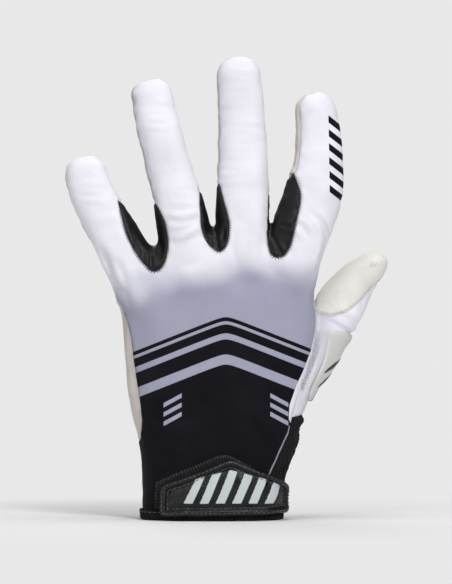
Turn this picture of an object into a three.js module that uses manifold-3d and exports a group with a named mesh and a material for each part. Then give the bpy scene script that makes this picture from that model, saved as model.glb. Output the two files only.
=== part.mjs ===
// A full-finger motocross glove for the left hand, in its worn shape: fingers up, cuff down.
// Millimetres. +Z runs from the wrist opening to the fingertips, -Y is the back of the hand and
// +X is the thumb side. The origin is the middle of the wrist opening.
// The glove is one hollow skin, cut along its seams into panels, with the closure's layers over it.
import * as THREE from "three";
import { mergeVertices } from "three/addons/utils/BufferGeometryUtils.js";
import Module from "manifold-3d";

const wasm = await Module();
wasm.setup();

// Cloth and seams
const WALL = 1.6; // stretch cloth with its backing, and the palm's leather
const SEAM_GAP = 0.3; // between two pieces that meet
const HEM = 1.6; // height at which the panels start, inside the folded binding
const FAR = 90; // further out than any part of the glove

// Roundness of the sections, as superellipse exponents
const HAND_POWER = 2.5;
const FINGER_POWER = 2.3;
const TIP_POWER_WIDE = 2.6;
const TIP_POWER_DEEP = 2.0;
const HAND_SIDES = 28;
const FINGER_SIDES = 16;
const INNER_SIDES = 12;

// Hand body: a row for each level, with its reach to the little finger side, thumb side, back and palm
const HAND = [
  { z: 0, left: -35, right: 33.2, front: -21, back: 21 },
  { z: 10, left: -35.5, right: 33, front: -20.5, back: 21 },
  { z: 20, left: -35.8, right: 35, front: -20, back: 21 },
  { z: 30, left: -36.3, right: 38, front: -19.5, back: 21.5 },
  { z: 40, left: -37.8, right: 40.2, front: -19, back: 22 },
  { z: 50, left: -40, right: 42, front: -18.5, back: 22 },
  { z: 62, left: -42.5, right: 43.5, front: -18, back: 21.5 },
  { z: 75, left: -44.2, right: 47, front: -17.5, back: 20.5 },
  { z: 90, left: -45.3, right: 50, front: -17, back: 19 },
  { z: 104, left: -46.5, right: 50, front: -17, back: 17.5 },
  { z: 114, left: -49.5, right: 49.5, front: -16.5, back: 16.5 },
  { z: 124, left: -50, right: 50, front: -15, back: 15.5 },
  { z: 132, left: -46, right: 49, front: -12.5, back: 13.5 },
  { z: 138, left: -37, right: 40, front: -9, back: 10 },
  { z: 142, left: -20, right: 26, front: -4, back: 5 },
];
const HAND_TOP = 143;
// Soft dents in the back of the hand between the knuckles: where, how deep, how wide and how tall
const DENTS = [
  { x: 13, z: 121, deep: 1.6, wide: 8, tall: 10 },
  { x: 42, z: 113, deep: 1.6, wide: 7, tall: 9 },
  { x: -21, z: 112, deep: 1.2, wide: 9, tall: 13 },
];

// Fingers: a row for each section from inside the hand to the tip, with its centre and half sizes.
// tip is the length of the rounded end. seam_left and seam_right put the seam ahead of the middle (minus,
// towards the back of the hand) or behind it, in shares of the half depth.
const DIGITS = {
  little: {
    tip: 10,
    seam_left: -0.1,
    seam_right: 0.1,
    rows: [
      { x: -31, y: 0, z: 108, wide: 12, deep: 12 },
      { x: -39.5, y: -0.5, z: 124, wide: 12.8, deep: 12 },
      { x: -48.3, y: 0, z: 139.5, wide: 12.2, deep: 11 },
      { x: -55.8, y: 1, z: 151.5, wide: 11.6, deep: 10 },
      { x: -61.3, y: 2.5, z: 162.5, wide: 11, deep: 9.3 },
      { x: -64.6, y: 4.5, z: 172.5, wide: 10.4, deep: 8.6 },
      { x: -66.5, y: 6, z: 181, wide: 9.4, deep: 8 },
    ],
  },
  ring: {
    tip: 10,
    seam_left: -0.3,
    seam_right: 0.1,
    rows: [
      { x: -9, y: 0, z: 110, wide: 12.5, deep: 12.5 },
      { x: -12.5, y: -1, z: 131, wide: 13.2, deep: 12.5 },
      { x: -16.2, y: -0.5, z: 148.5, wide: 13.2, deep: 11.8 },
      { x: -20.6, y: 0.5, z: 167, wide: 11.6, deep: 10.6 },
      { x: -25.3, y: 2, z: 185, wide: 11, deep: 9.8 },
      { x: -29.9, y: 4.5, z: 203, wide: 10.7, deep: 9 },
      { x: -32.3, y: 7, z: 219.5, wide: 9.9, deep: 8.4 },
    ],
  },
  middle: {
    tip: 10,
    seam_left: -0.3,
    seam_right: 0.1,
    rows: [
      { x: 15.2, y: 0, z: 110, wide: 13, deep: 12.8 },
      { x: 14.8, y: -1, z: 132, wide: 13.4, deep: 13 },
      { x: 14.4, y: -0.5, z: 152, wide: 13.4, deep: 12.2 },
      { x: 14.6, y: 0.5, z: 172, wide: 12.7, deep: 11 },
      { x: 13.9, y: 2, z: 192, wide: 12, deep: 10.2 },
      { x: 13, y: 4.5, z: 212, wide: 11.5, deep: 9.4 },
      { x: 12, y: 7, z: 231, wide: 10.4, deep: 8.6 },
    ],
  },
  index: {
    tip: 10,
    seam_left: -0.5,
    seam_right: 0.1,
    rows: [
      { x: 32.5, y: 0, z: 110, wide: 13, deep: 13 },
      { x: 38.2, y: -0.5, z: 127, wide: 14, deep: 13 },
      { x: 43.3, y: 0, z: 143.5, wide: 14.8, deep: 12.4 },
      { x: 48.3, y: 1, z: 160, wide: 13.6, deep: 11.2 },
      { x: 51.7, y: 2.5, z: 177, wide: 12.3, deep: 10.2 },
      { x: 52, y: 4.5, z: 194, wide: 11.2, deep: 9.2 },
      { x: 49.3, y: 7, z: 213, wide: 8.9, deep: 8.2 },
    ],
  },
  thumb: {
    tip: 9,
    rows: [
      { x: 27, y: 8, z: 46, wide: 12, deep: 11 },
      { x: 37, y: 12, z: 65, wide: 13, deep: 13 },
      { x: 47.5, y: 16, z: 82, wide: 13.2, deep: 13.4 },
      { x: 56.5, y: 19.5, z: 96, wide: 12, deep: 12.6 },
      { x: 64.3, y: 22, z: 107.5, wide: 12.6, deep: 12.2 },
      { x: 72.5, y: 24, z: 119.5, wide: 10.4, deep: 10.8 },
      { x: 84, y: 26, z: 132, wide: 7.6, deep: 9 },
    ],
  },
};
const STEPS_ALONG = 6; // sections between a digit's root and its rounded end
const TIP_STEPS = [0.6, 0.32, 0.12]; // sections in the rounded end, in shares of its length from the tip

// Side seams of the hand body: how far back the seam lies at each level
const SIDE_SEAM = [
  { z: -5, left: 3, right: -14.5 },
  { z: 20, left: 3, right: -14.5 },
  { z: 35, left: 2, right: -12 },
  { z: 43, left: -6, right: -9.5 },
  { z: 62, left: -10, right: -6 },
  { z: 84, left: -9.5, right: -4 },
  { z: 100, left: -7, right: -3 },
  { z: 111, left: -2, right: 1 },
  { z: 148, left: -1.5, right: 1.5 },
];

// Gussets between the fingers, as seen from the back: the arms' tips, where the arms are widest,
// and the foot
const GUSSETS = {
  gusset_little_ring: [
    { x: -47.4, z: 158.4 },
    { x: -45.2, z: 147.5 },
    { x: -39.4, z: 134 },
    { x: -29.8, z: 123.6 },
    { x: -23.6, z: 133 },
    { x: -23.9, z: 145 },
    { x: -32.4, z: 162.2 },
  ],
  gusset_ring_middle: [
    { x: -6.9, z: 167.6 },
    { x: -6.2, z: 150 },
    { x: -3.6, z: 139 },
    { x: 2.1, z: 133.8 },
    { x: 7, z: 139.5 },
    { x: 7.2, z: 149 },
    { x: 2.4, z: 166.7 },
  ],
  gusset_middle_index: [
    { x: 25.8, z: 163 },
    { x: 25.6, z: 148 },
    { x: 26.8, z: 136 },
    { x: 31.8, z: 130.6 },
    { x: 38.4, z: 138 },
    { x: 43, z: 160 },
    { x: 39.4, z: 172.6 },
  ],
};
const GUSSET_BACK = 6; // the gussets pass through between the fingers and end on the palm side
const GUSSET_STEPS = 11;
// Finger seams run from inside the hand to past the tip
const FINGER_SEAM = { start: 122, margin: 1.2, narrowest: 3, beyond: 6 };

// Thumb: the leather covers all above this line, seen from the back of the hand
const THUMB_LEATHER_LINE = [
  { x: 50.6, z: 103.6 },
  { x: 58, z: 101 },
  { x: 66, z: 103 },
  { x: 74, z: 109 },
  { x: 82, z: 118 },
  { x: 120, z: 118 },
];
const THUMB_WEB = [
  { x: 120, z: 150 },
  { x: 66, z: 150 },
  { x: 60, z: 135 },
  { x: 51.5, z: 117 },
  { x: 50.8, z: 109 },
];
// Outer side of the thumb's base in white cloth, as far back as the seam at each level
const THUMB_CLOTH_LEFT = 20;
const THUMB_CLOTH_BACK = [
  { z: 40, back: 15 },
  { z: 75, back: 20 },
  { z: 120, back: 27 },
];
// Where the thumb cloth ends towards the palm, seen from the back
const THUMB_CLOTH_INNER = [
  { x: 26, z: 40 },
  { x: 33, z: 58 },
  { x: 42, z: 78 },
  { x: 49.5, z: 92 },
  { x: 50.8, z: 99 },
  { x: 50.8, z: 130 },
];
// Moulded guard on the thumb's base
const GUARD_THICK = 1.3;
const GUARD_BACK = 27;
const GUARD = [
  { x: 45.6, z: 57 },
  { x: 46.4, z: 64 },
  { x: 50.8, z: 70.6 },
  { x: 54.6, z: 78.7 },
  { x: 56.2, z: 86.3 },
  { x: 57, z: 94 },
  { x: 60, z: 96.2 },
  { x: 74, z: 95.5 },
  { x: 74, z: 57 },
];

// Wrist: the knitted panel behind it, its binding, and the closure
const KNIT_TOP = { left_x: -38, left_z: 38.6, right_x: 42, right_z: 51.5 };
const BINDING = { height: 5.2, thick: 1.2 };
const PAD = { bottom: 5.6, thick: 1.2 };
const PAD_OUTLINE = [
  { x: -30.6, z: PAD.bottom },
  { x: -30.6, z: 18.6 },
  { x: -26.4, z: 20.6 },
  { x: 1.6, z: 31.6 },
  { x: 6.4, z: 32.2 },
  { x: 11, z: 30.8 },
  { x: 30.5, z: 21 },
  { x: 30.5, z: PAD.bottom },
];
const TAB = { clear: 0.4, thick: 2, rim_thick: 0.9 };
const TAB_OUTLINE = [
  { x: -26.4, z: 2 },
  { x: -26.6, z: 16.4 },
  { x: -25.4, z: 17.9 },
  { x: 4.6, z: 28.6 },
  { x: 8.8, z: 29.2 },
  { x: 13, z: 28.1 },
  { x: 36, z: 17.6 },
  { x: 50, z: 16.5 },
  { x: 50, z: 3.2 },
];
const RIM_INSIDE = [
  { x: -23, z: 5.4 },
  { x: -23.2, z: 15.2 },
  { x: 7, z: 25.2 },
  { x: 11.4, z: 25.2 },
  { x: 33.4, z: 15.4 },
  { x: 33, z: 5.8 },
];
const RIM_END = 36.4; // the rim closes across the tab here, on the thumb side
const STRAP_END = 6; // the strap runs round the thumb side and ends here, behind the wrist

const MATERIALS = {
  back_panel: { color: 0xeceaf4, roughness: 0.75, metalness: 0 },
  palm_panel: { color: 0xe6e2da, roughness: 0.85, metalness: 0 },
  gusset: { color: 0x19181c, roughness: 0.6, metalness: 0 },
  thumb_guard: { color: 0xd3d6d2, roughness: 0.45, metalness: 0 },
  knit: { color: 0x141414, roughness: 0.95, metalness: 0 },
  binding: { color: 0x1a1413, roughness: 0.8, metalness: 0 },
  leather: { color: 0x202123, roughness: 0.4, metalness: 0 },
};

// A closed three.js geometry as a solid for cutting and joining.
function solidOf(geometry) {
  const bare = geometry.clone();
  bare.deleteAttribute("normal");
  bare.deleteAttribute("uv");
  const merged = mergeVertices(bare, 1e-4);
  return new wasm.Manifold(
    new wasm.Mesh({
      numProp: 3,
      vertProperties: new Float32Array(merged.attributes.position.array),
      triVerts: new Uint32Array(merged.index.array),
    }),
  );
}

// A solid as a named mesh with its own material.
function meshOf(solid, name, look) {
  const cut = solid.getMesh();
  const geometry = new THREE.BufferGeometry();
  geometry.setAttribute(
    "position",
    new THREE.BufferAttribute(cut.vertProperties, 3),
  );
  geometry.setIndex(new THREE.BufferAttribute(cut.triVerts, 1));
  geometry.computeVertexNormals();
  const mesh = new THREE.Mesh(geometry, new THREE.MeshStandardMaterial(look));
  mesh.name = name;
  return mesh;
}

// A closed skin over rings of equally many points, each ring turning anticlockwise seen from the next one.
function loft(rings) {
  const sides = rings[0].length;
  const points = rings.flat();
  const first = points.length;
  for (const ring of [rings[0], rings[rings.length - 1]]) {
    const middle = new THREE.Vector3();
    for (const p of ring) middle.addScaledVector(p, 1 / sides);
    points.push(middle);
  }
  const faces = [];
  const last = (rings.length - 1) * sides;
  for (let k = 0; k < sides; k++) {
    const next = (k + 1) % sides;
    faces.push(first, next, k);
    faces.push(first + 1, last + k, last + next);
    for (let r = 0; r < last; r += sides) {
      faces.push(r + k, r + next, r + sides + next);
      faces.push(r + k, r + sides + next, r + sides + k);
    }
  }
  const geometry = new THREE.BufferGeometry().setFromPoints(points);
  geometry.setIndex(faces);
  return solidOf(geometry);
}

// The point of a superellipse at an angle, in shares of its half sizes.
function roundAt(angle, power) {
  const c = Math.cos(angle);
  const s = Math.sin(angle);
  return [
    Math.sign(c) * Math.abs(c) ** (2 / power),
    Math.sign(s) * Math.abs(s) ** (2 / power),
  ];
}

// How deep the back of the hand is dented at a place.
function dentAt(x, z) {
  let depth = 0;
  for (const dent of DENTS) {
    const far = Math.hypot((x - dent.x) / dent.wide, (z - dent.z) / dent.tall);
    depth += dent.deep * Math.exp(-far * far);
  }
  return depth;
}

// One level of the hand body, grown outwards by a distance.
function handRing(row, grow) {
  const ring = [];
  for (let k = 0; k < HAND_SIDES; k++) {
    const [u, v] = roundAt((2 * Math.PI * k) / HAND_SIDES, HAND_POWER);
    const reachX = u > 0 ? row.right + grow : -row.left + grow;
    const reachY = v > 0 ? row.back + grow : -row.front + grow;
    const x = u * reachX;
    const dent = v < 0 ? -v * dentAt(x, row.z) : 0;
    ring.push(new THREE.Vector3(x, v * reachY + dent, row.z));
  }
  return ring;
}

// The hand body grown outwards by a distance, or inwards by a negative one, and drawn out below
// where asked.
function handBody(grow, below = 0) {
  const rows = HAND.map((row) => ({ ...row }));
  const top = rows[rows.length - 1];
  top.z += grow / 2;
  rows[0].z -= below;
  const rings = rows.map((row) => handRing(row, grow));
  rings.push(
    rings[rings.length - 1].map(
      (p) => new THREE.Vector3(p.x * 0.05, p.y * 0.05, HAND_TOP + grow),
    ),
  );
  return loft(rings);
}

// Rows joined by smooth curves: the centre line of a digit and its half sizes along it.
function digitCurves(rows) {
  const smooth = (points) =>
    new THREE.CatmullRomCurve3(points, false, "catmullrom");
  return {
    centre: smooth(rows.map((r) => new THREE.Vector3(r.x, r.y, r.z))),
    size: smooth(rows.map((r) => new THREE.Vector3(r.wide, r.deep, 0))),
  };
}

// How much of the full size is left at a distance from the tip, over a rounded end of a given length.
function domeShare(distance, length, power) {
  if (distance >= length) return 1;
  return Math.max(0.02, (1 - (1 - distance / length) ** power) ** (1 / power));
}

// Sections of a digit: centre, half sizes, and the directions of its width and of its depth.
function digitSections(digit, grow) {
  const { centre, size } = digitCurves(digit.rows);
  const whole = centre.getLength();
  const long = whole + grow;
  const straight = whole - digit.tip;
  const stations = [];
  for (let k = 0; k <= STEPS_ALONG; k++)
    stations.push((straight * k) / STEPS_ALONG);
  for (const share of TIP_STEPS) stations.push(long - digit.tip * share);
  stations.push(long - 0.02);
  return stations.map((s) => {
    const t = centre.getUtoTmapping(Math.min(1, s / whole));
    const along = centre.getTangent(t);
    const deep = new THREE.Vector3(0, 1, 0);
    deep.addScaledVector(along, -deep.dot(along)).normalize();
    const wide = deep.clone().cross(along);
    const half = size.getPoint(t);
    const middle = centre.getPoint(t);
    middle.addScaledVector(along, Math.max(0, s - whole));
    const left = long - s;
    return {
      middle,
      wide,
      deep,
      halfWide: (half.x + grow) * domeShare(left, digit.tip, TIP_POWER_WIDE),
      halfDeep: (half.y + grow) * domeShare(left, 1.4 * digit.tip, TIP_POWER_DEEP),
    };
  });
}

// A point of a section, from its distances along the width and the depth.
function inSection(section, u, v) {
  return section.middle
    .clone()
    .addScaledVector(section.wide, u)
    .addScaledVector(section.deep, v);
}

// A digit grown outwards by a distance, or inwards by a negative one.
function digitBody(digit, grow, sides = FINGER_SIDES) {
  return loft(
    digitSections(digit, grow).map((section) => {
      const ring = [];
      for (let k = 0; k < sides; k++) {
        const [u, v] = roundAt((2 * Math.PI * k) / sides, FINGER_POWER);
        ring.push(inSection(section, u * section.halfWide, v * section.halfDeep));
      }
      return ring;
    }),
  );
}

// A prism over an outline seen from the back of the hand, from one depth to another.
function prism(outline, front, back) {
  const shape = new THREE.Shape(
    outline.map((p) => new THREE.Vector2(p.x, p.z)),
  );
  const geometry = new THREE.ExtrudeGeometry(shape, {
    depth: back - front,
    bevelEnabled: false,
  });
  geometry.rotateX(Math.PI / 2);
  geometry.translate(0, back, 0);
  return solidOf(geometry);
}

// A clockwise outline with each of its edges moved outwards by a distance.
function grown(outline, distance) {
  const count = outline.length;
  const outwards = outline.map((p, k) => {
    const next = outline[(k + 1) % count];
    return new THREE.Vector2(p.z - next.z, next.x - p.x).normalize();
  });
  return outline.map((p, k) => {
    const before = outwards[(k + count - 1) % count];
    const after = outwards[k];
    const reach = distance / (1 + before.dot(after));
    return {
      x: p.x + (before.x + after.x) * reach,
      z: p.z + (before.y + after.y) * reach,
    };
  });
}

// Everything in front of a surface between two sides, given by its depth at each side and level.
// The surface runs on beyond the inner pair, at the depth that it has there.
function frontOf(rows, sides, inner) {
  return loft(
    rows.map((row) => [
      new THREE.Vector3(sides.left, -FAR, row.z),
      new THREE.Vector3(sides.right, -FAR, row.z),
      new THREE.Vector3(sides.right, row.right, row.z),
      new THREE.Vector3(inner.right, row.right, row.z),
      new THREE.Vector3(inner.left, row.left, row.z),
      new THREE.Vector3(sides.left, row.left, row.z),
    ]),
  );
}

// The part of a digit's space that its back panel takes, up to the seams on its two sides.
function digitFront(digit) {
  const { start, margin, narrowest, beyond } = FINGER_SEAM;
  const rings = digitSections(digit, 0)
    .filter((section) => section.middle.z > start && section.halfWide > narrowest)
    .map((section) => {
      const reach = section.halfWide + margin;
      const left = digit.seam_left * section.halfDeep;
      const right = digit.seam_right * section.halfDeep;
      return [
        inSection(section, -reach, -FAR / 2),
        inSection(section, reach, -FAR / 2),
        inSection(section, reach, right),
        inSection(section, -reach, left),
      ];
    });
  const last = rings[rings.length - 1];
  return loft([...rings, last.map((p) => p.clone().setZ(p.z + beyond))]);
}

// A gusset's outline with smooth sides, from its tips and the points between them.
function gussetOutline(points, grow) {
  const curve = new THREE.CatmullRomCurve3(
    points.map((p) => new THREE.Vector3(p.x, 0, p.z)),
    false,
    "catmullrom",
  );
  const outline = curve
    .getPoints(GUSSET_STEPS)
    .map((p) => ({ x: p.x, z: p.z }))
    .reverse();
  return grow ? grown(outline, grow) : outline;
}

// Skin: the glove's outer form less its inner one, from the hem to the fingertips
const digits = Object.values(DIGITS);
let outer = handBody(0);
let inner = handBody(-WALL, 8);
for (const digit of digits) {
  outer = outer.add(digitBody(digit, 0));
  inner = inner.add(digitBody(digit, -WALL, INNER_SIDES));
}
const aboveHem = prism(
  [
    { x: -FAR, z: HEM },
    { x: -FAR, z: 3 * FAR },
    { x: 2 * FAR, z: 3 * FAR },
    { x: 2 * FAR, z: HEM },
  ],
  -FAR,
  FAR,
);
const skin = outer.subtract(inner).intersect(aboveHem);

// Seam surface between the back panel and everything behind it
let frontSpace = frontOf(
  SIDE_SEAM,
  { left: -FAR, right: FAR },
  { left: -36, right: 36 },
);
for (const name of ["little", "ring", "middle", "index"])
  frontSpace = frontSpace.add(digitFront(DIGITS[name]));
const behind = frontSpace.translate([0, SEAM_GAP, 0]);

let backPanel = skin.intersect(frontSpace);
let rear = skin.subtract(behind);

const group = new THREE.Group();

// Gussets take their places out of both halves
for (const [name, points] of Object.entries(GUSSETS)) {
  const own = prism(gussetOutline(points, 0), -FAR, GUSSET_BACK);
  const room = prism(gussetOutline(points, SEAM_GAP), -FAR, GUSSET_BACK + SEAM_GAP);
  group.add(meshOf(skin.intersect(own), name, MATERIALS.gusset));
  backPanel = backPanel.subtract(room);
  rear = rear.subtract(room);
}
group.add(meshOf(backPanel, "back_panel", MATERIALS.back_panel));

// Thumb leather: a cap over the thumb's end
const leatherOutline = [...THUMB_LEATHER_LINE, ...THUMB_WEB].reverse();
const leatherSpace = prism(leatherOutline, -FAR, FAR);
const leatherRoom = prism(grown(leatherOutline, SEAM_GAP), -FAR, FAR);
group.add(
  meshOf(rear.intersect(leatherSpace), "thumb_leather", MATERIALS.palm_panel),
);
rear = rear.subtract(leatherRoom);

// Wrist knit: the panel behind the wrist, up to a slanting seam
function knitSpace(lift) {
  const rise =
    (KNIT_TOP.right_z - KNIT_TOP.left_z) / (KNIT_TOP.right_x - KNIT_TOP.left_x);
  const topAt = (x) => KNIT_TOP.left_z + rise * (x - KNIT_TOP.left_x) + lift;
  return prism(
    [
      { x: -FAR, z: -5 },
      { x: -FAR, z: topAt(-FAR) },
      { x: FAR, z: topAt(FAR) },
      { x: FAR, z: -5 },
    ],
    -FAR,
    FAR,
  );
}
group.add(meshOf(rear.intersect(knitSpace(0)), "wrist_knit", MATERIALS.knit));
rear = rear.subtract(knitSpace(SEAM_GAP));

// Thumb cloth: the white outer side of the thumb's base
function clothSpace(gap) {
  const ahead = frontOf(
    THUMB_CLOTH_BACK.map((row) => ({
      z: row.z,
      left: row.back + gap,
      right: row.back + gap,
    })),
    { left: THUMB_CLOTH_LEFT - gap, right: 2 * FAR },
    { left: THUMB_CLOTH_LEFT + 1, right: FAR },
  );
  const inner = THUMB_CLOTH_INNER.map((p) => ({ x: p.x - gap, z: p.z }));
  const outward = [...inner, { x: FAR, z: 130 }, { x: FAR, z: 40 }];
  return ahead.intersect(prism(outward, -FAR, FAR));
}
group.add(
  meshOf(rear.intersect(clothSpace(0)), "thumb_cloth", MATERIALS.back_panel),
);
rear = rear.subtract(clothSpace(SEAM_GAP));
group.add(meshOf(rear, "palm_panel", MATERIALS.palm_panel));

// Thumb guard: a moulded plate that follows the thumb's outer side
const thumbPlate = digitBody(DIGITS.thumb, SEAM_GAP + GUARD_THICK).subtract(
  digitBody(DIGITS.thumb, SEAM_GAP),
);
const guard = thumbPlate
  .intersect(prism(GUARD, -FAR, GUARD_BACK))
  .subtract(handBody(SEAM_GAP));
group.add(meshOf(guard, "thumb_guard", MATERIALS.thumb_guard));

// A layer over the wrist between two distances from the skin
function wristLayer(from, to) {
  return handBody(to, 4).subtract(handBody(from, 8));
}

// Cuff binding: folded round the hem, so that its section is a U
function level(bottom, top) {
  return prism(
    [
      { x: -FAR, z: bottom },
      { x: -FAR, z: top },
      { x: FAR, z: top },
      { x: FAR, z: bottom },
    ],
    -FAR,
    FAR,
  );
}
const foldOut = SEAM_GAP + BINDING.thick;
const binding = wristLayer(-WALL - foldOut, foldOut)
  .intersect(level(0, BINDING.height))
  .subtract(
    wristLayer(-WALL - SEAM_GAP, SEAM_GAP).intersect(
      level(HEM - SEAM_GAP, 2 * BINDING.height),
    ),
  );
group.add(meshOf(binding, "cuff_binding", MATERIALS.binding));

// Loop pad on the back of the wrist, and the leather tab over it with its strap round the thumb side
const pad = wristLayer(SEAM_GAP, SEAM_GAP + PAD.thick).intersect(
  prism(PAD_OUTLINE, -FAR, 0),
);
group.add(meshOf(pad, "loop_pad", MATERIALS.knit));

const tabFrom = SEAM_GAP + PAD.thick + TAB.clear;
const tabLayer = wristLayer(tabFrom, tabFrom + TAB.thick);
const strapOutline = [
  { x: STRAP_END, z: 3.6 },
  { x: STRAP_END, z: 16.8 },
  { x: FAR, z: 16.8 },
  { x: FAR, z: 3.6 },
];
const tab = tabLayer
  .intersect(prism(TAB_OUTLINE, -FAR, 0.01))
  .add(tabLayer.intersect(prism(strapOutline, 0, FAR)));
group.add(meshOf(tab, "closure_tab", MATERIALS.leather));

const rimFrom = tabFrom + TAB.thick + SEAM_GAP;
const rimEnd = prism(
  [
    { x: -FAR, z: -5 },
    { x: -FAR, z: FAR },
    { x: RIM_END, z: FAR },
    { x: RIM_END, z: -5 },
  ],
  -FAR,
  -2,
);
const rim = wristLayer(rimFrom, rimFrom + TAB.rim_thick)
  .intersect(prism(TAB_OUTLINE, -FAR, -2))
  .intersect(rimEnd)
  .subtract(prism(RIM_INSIDE, -FAR, 0));
group.add(meshOf(rim, "tab_rim", MATERIALS.leather));

export default group;
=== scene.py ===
"""A motocross glove in its worn shape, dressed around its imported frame.

Work is in millimetres until a mesh is written, then in metres. The skin of the glove is the zero surface
of one smooth field: superellipse tubes for the hand and the five digits, melted together, with dents and
folds added. It is cut along its seams into panels, and each panel gets a wall."""

import math

import bpy
import numpy as np
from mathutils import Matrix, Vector


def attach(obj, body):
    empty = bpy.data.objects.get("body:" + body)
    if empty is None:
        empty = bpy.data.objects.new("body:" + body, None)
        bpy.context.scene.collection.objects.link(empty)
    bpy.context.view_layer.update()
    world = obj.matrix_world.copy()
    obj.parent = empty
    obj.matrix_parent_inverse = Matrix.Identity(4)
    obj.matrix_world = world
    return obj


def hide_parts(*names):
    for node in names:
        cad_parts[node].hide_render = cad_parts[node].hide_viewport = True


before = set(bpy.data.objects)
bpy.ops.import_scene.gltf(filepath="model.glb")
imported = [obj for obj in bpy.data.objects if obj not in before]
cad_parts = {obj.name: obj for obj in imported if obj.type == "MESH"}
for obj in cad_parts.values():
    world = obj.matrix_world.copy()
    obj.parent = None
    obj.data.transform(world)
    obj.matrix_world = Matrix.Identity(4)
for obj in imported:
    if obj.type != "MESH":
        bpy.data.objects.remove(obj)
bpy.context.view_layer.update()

MM = 0.001
VOXEL = 0.9  # spacing of the skin's points
CLOTH = 1.2  # thickness of the cloth and the palm's leather
HEM = 1.6  # height at which the panels start, inside the binding
BODY = "root"
DOME_RADIUS = 7.0  # metres
PAPER = (0.81, 0.81, 0.81, 1.0)
WHITE_LIGHT = (1.0, 1.0, 1.0, 1.0)
NO_LIGHT = (0.0, 0.0, 0.0, 1.0)
SCRAP = 200  # a loose part of fewer faces than this is a stray scrap

# Hand body: level, reach to the little finger side, thumb side, back and palm
HAND = np.array(
    [
        (-14, -35, 33.2, -21, 21),
        (0, -35, 33.2, -21, 21),
        (10, -35.5, 33, -20.5, 21),
        (20, -35.8, 35, -20, 21),
        (30, -36.3, 38, -19.5, 21.5),
        (40, -37.8, 40.2, -19, 22),
        (50, -40, 41, -18.5, 22),
        (62, -42.5, 43.5, -18, 21.5),
        (75, -44.2, 47, -17.5, 20.5),
        (90, -45.3, 50, -17, 19),
        (104, -46.5, 50, -17, 17.5),
        (114, -49, 49.5, -16.5, 16.5),
        (124, -49.5, 49, -15, 15.5),
        (150, -49.5, 49, -14, 14.5),
    ],
    float,
)
HAND_POWER = 2.5
HAND_CAP = 118  # the hand body starts to close above this level
HAND_CAP_POWER = 2.2
HAND_TOP = ((-60, 134), (-32, 139), (0, 144), (28, 143), (60, 136))  # across: height at which it has closed

# Digits: centre x, y, z and half sizes across and in depth, from inside the hand to the tip
DIGITS = {
    "little": (
        (-31, 0, 108, 12, 12),
        (-39.5, -0.5, 124, 12.8, 12),
        (-48.3, 0, 139.5, 12.2, 11),
        (-55.8, 1, 151.5, 11.6, 10),
        (-61.3, 2.5, 162.5, 11, 9.3),
        (-64.6, 4.5, 172.5, 10.4, 8.6),
        (-66.5, 6, 181, 9.4, 8),
    ),
    "ring": (
        (-9, 0, 110, 12.5, 12.5),
        (-12.5, -1, 131, 13.2, 12.5),
        (-16.2, -0.5, 148.5, 13.2, 11.8),
        (-20.6, 0.5, 167, 11.6, 10.6),
        (-25.3, 2, 185, 11, 9.8),
        (-29.9, 4.5, 203, 10.7, 9),
        (-32.3, 7, 219.5, 9.9, 8.4),
    ),
    "middle": (
        (15.2, 0, 110, 13, 12.8),
        (14.8, -1, 132, 13.4, 13),
        (14.4, -0.5, 152, 13.4, 12.2),
        (14.6, 0.5, 172, 12.7, 11),
        (13.9, 2, 192, 12, 10.2),
        (13, 4.5, 212, 11.5, 9.4),
        (12, 7, 231, 10.4, 8.6),
    ),
    "index": (
        (32.5, 0, 110, 13, 13),
        (38.2, -0.5, 127, 14, 13),
        (43.3, 0, 143.5, 14.8, 12.4),
        (49.2, 1, 160, 14.4, 11.2),
        (52, 2.5, 177, 12.6, 10.2),
        (52, 4.5, 194, 11.2, 9.2),
        (49.3, 7, 213, 8.9, 8.2),
    ),
    "thumb": (
        (27, 8, 46, 12, 11),
        (35.6, 12, 65, 12.2, 13),
        (47.5, 16, 82, 13.2, 13.4),
        (56.5, 19.5, 96, 12, 12.6),
        (64.3, 22, 107.5, 12.6, 12.2),
        (73.4, 24, 120.2, 9.8, 10.6),
        (86, 26, 131.4, 5.8, 8.2),
    ),
}
DIGIT_POWER = 2.3
DIGIT_POINTS = 160  # points along a digit's middle line
REACH = 26  # a digit's distance is worked out within this of its middle line
FAR = 60.0  # the distance taken beyond that
TIP_LENGTH = 10
TIP_POWER = 2.75
MELT_FINGERS = 2.0  # how far two neighbouring fingers melt together at their roots
MELT_HAND = 5.0
MELT_THUMB = 12.0

# Main seam on the hand, seen from the back: level, x on the little finger side, x on the thumb side
SIDE_SEAM = (
    (-5, -37.5, 24),
    (12, -37.5, 25),
    (20, -37.5, 27),
    (33, -37.5, 33),
    (43, -36.6, 37.6),
    (50, -36.2, 39),
    (58, -37, 41),
    (68, -38.6, 44.5),
    (79, -40.2, 49.4),
    (90, -41.6, 51.6),
    (98, -43.2, 51.6),
    (107, -46.5, 50.6),
    (114, -52, 53),
)
SEAM_DEEP = (2, 9)  # depth behind which all is past that seam: on the little finger side, on the thumb side
# Seam on the fingers' sides, in shares of the half depth: towards the little finger, towards the thumb
FINGER_SEAM = {
    "little": (-0.1, 0.1),
    "ring": (-0.3, 0.1),
    "middle": (-0.3, 0.1),
    "index": (-0.74, 0.1),
}

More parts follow.
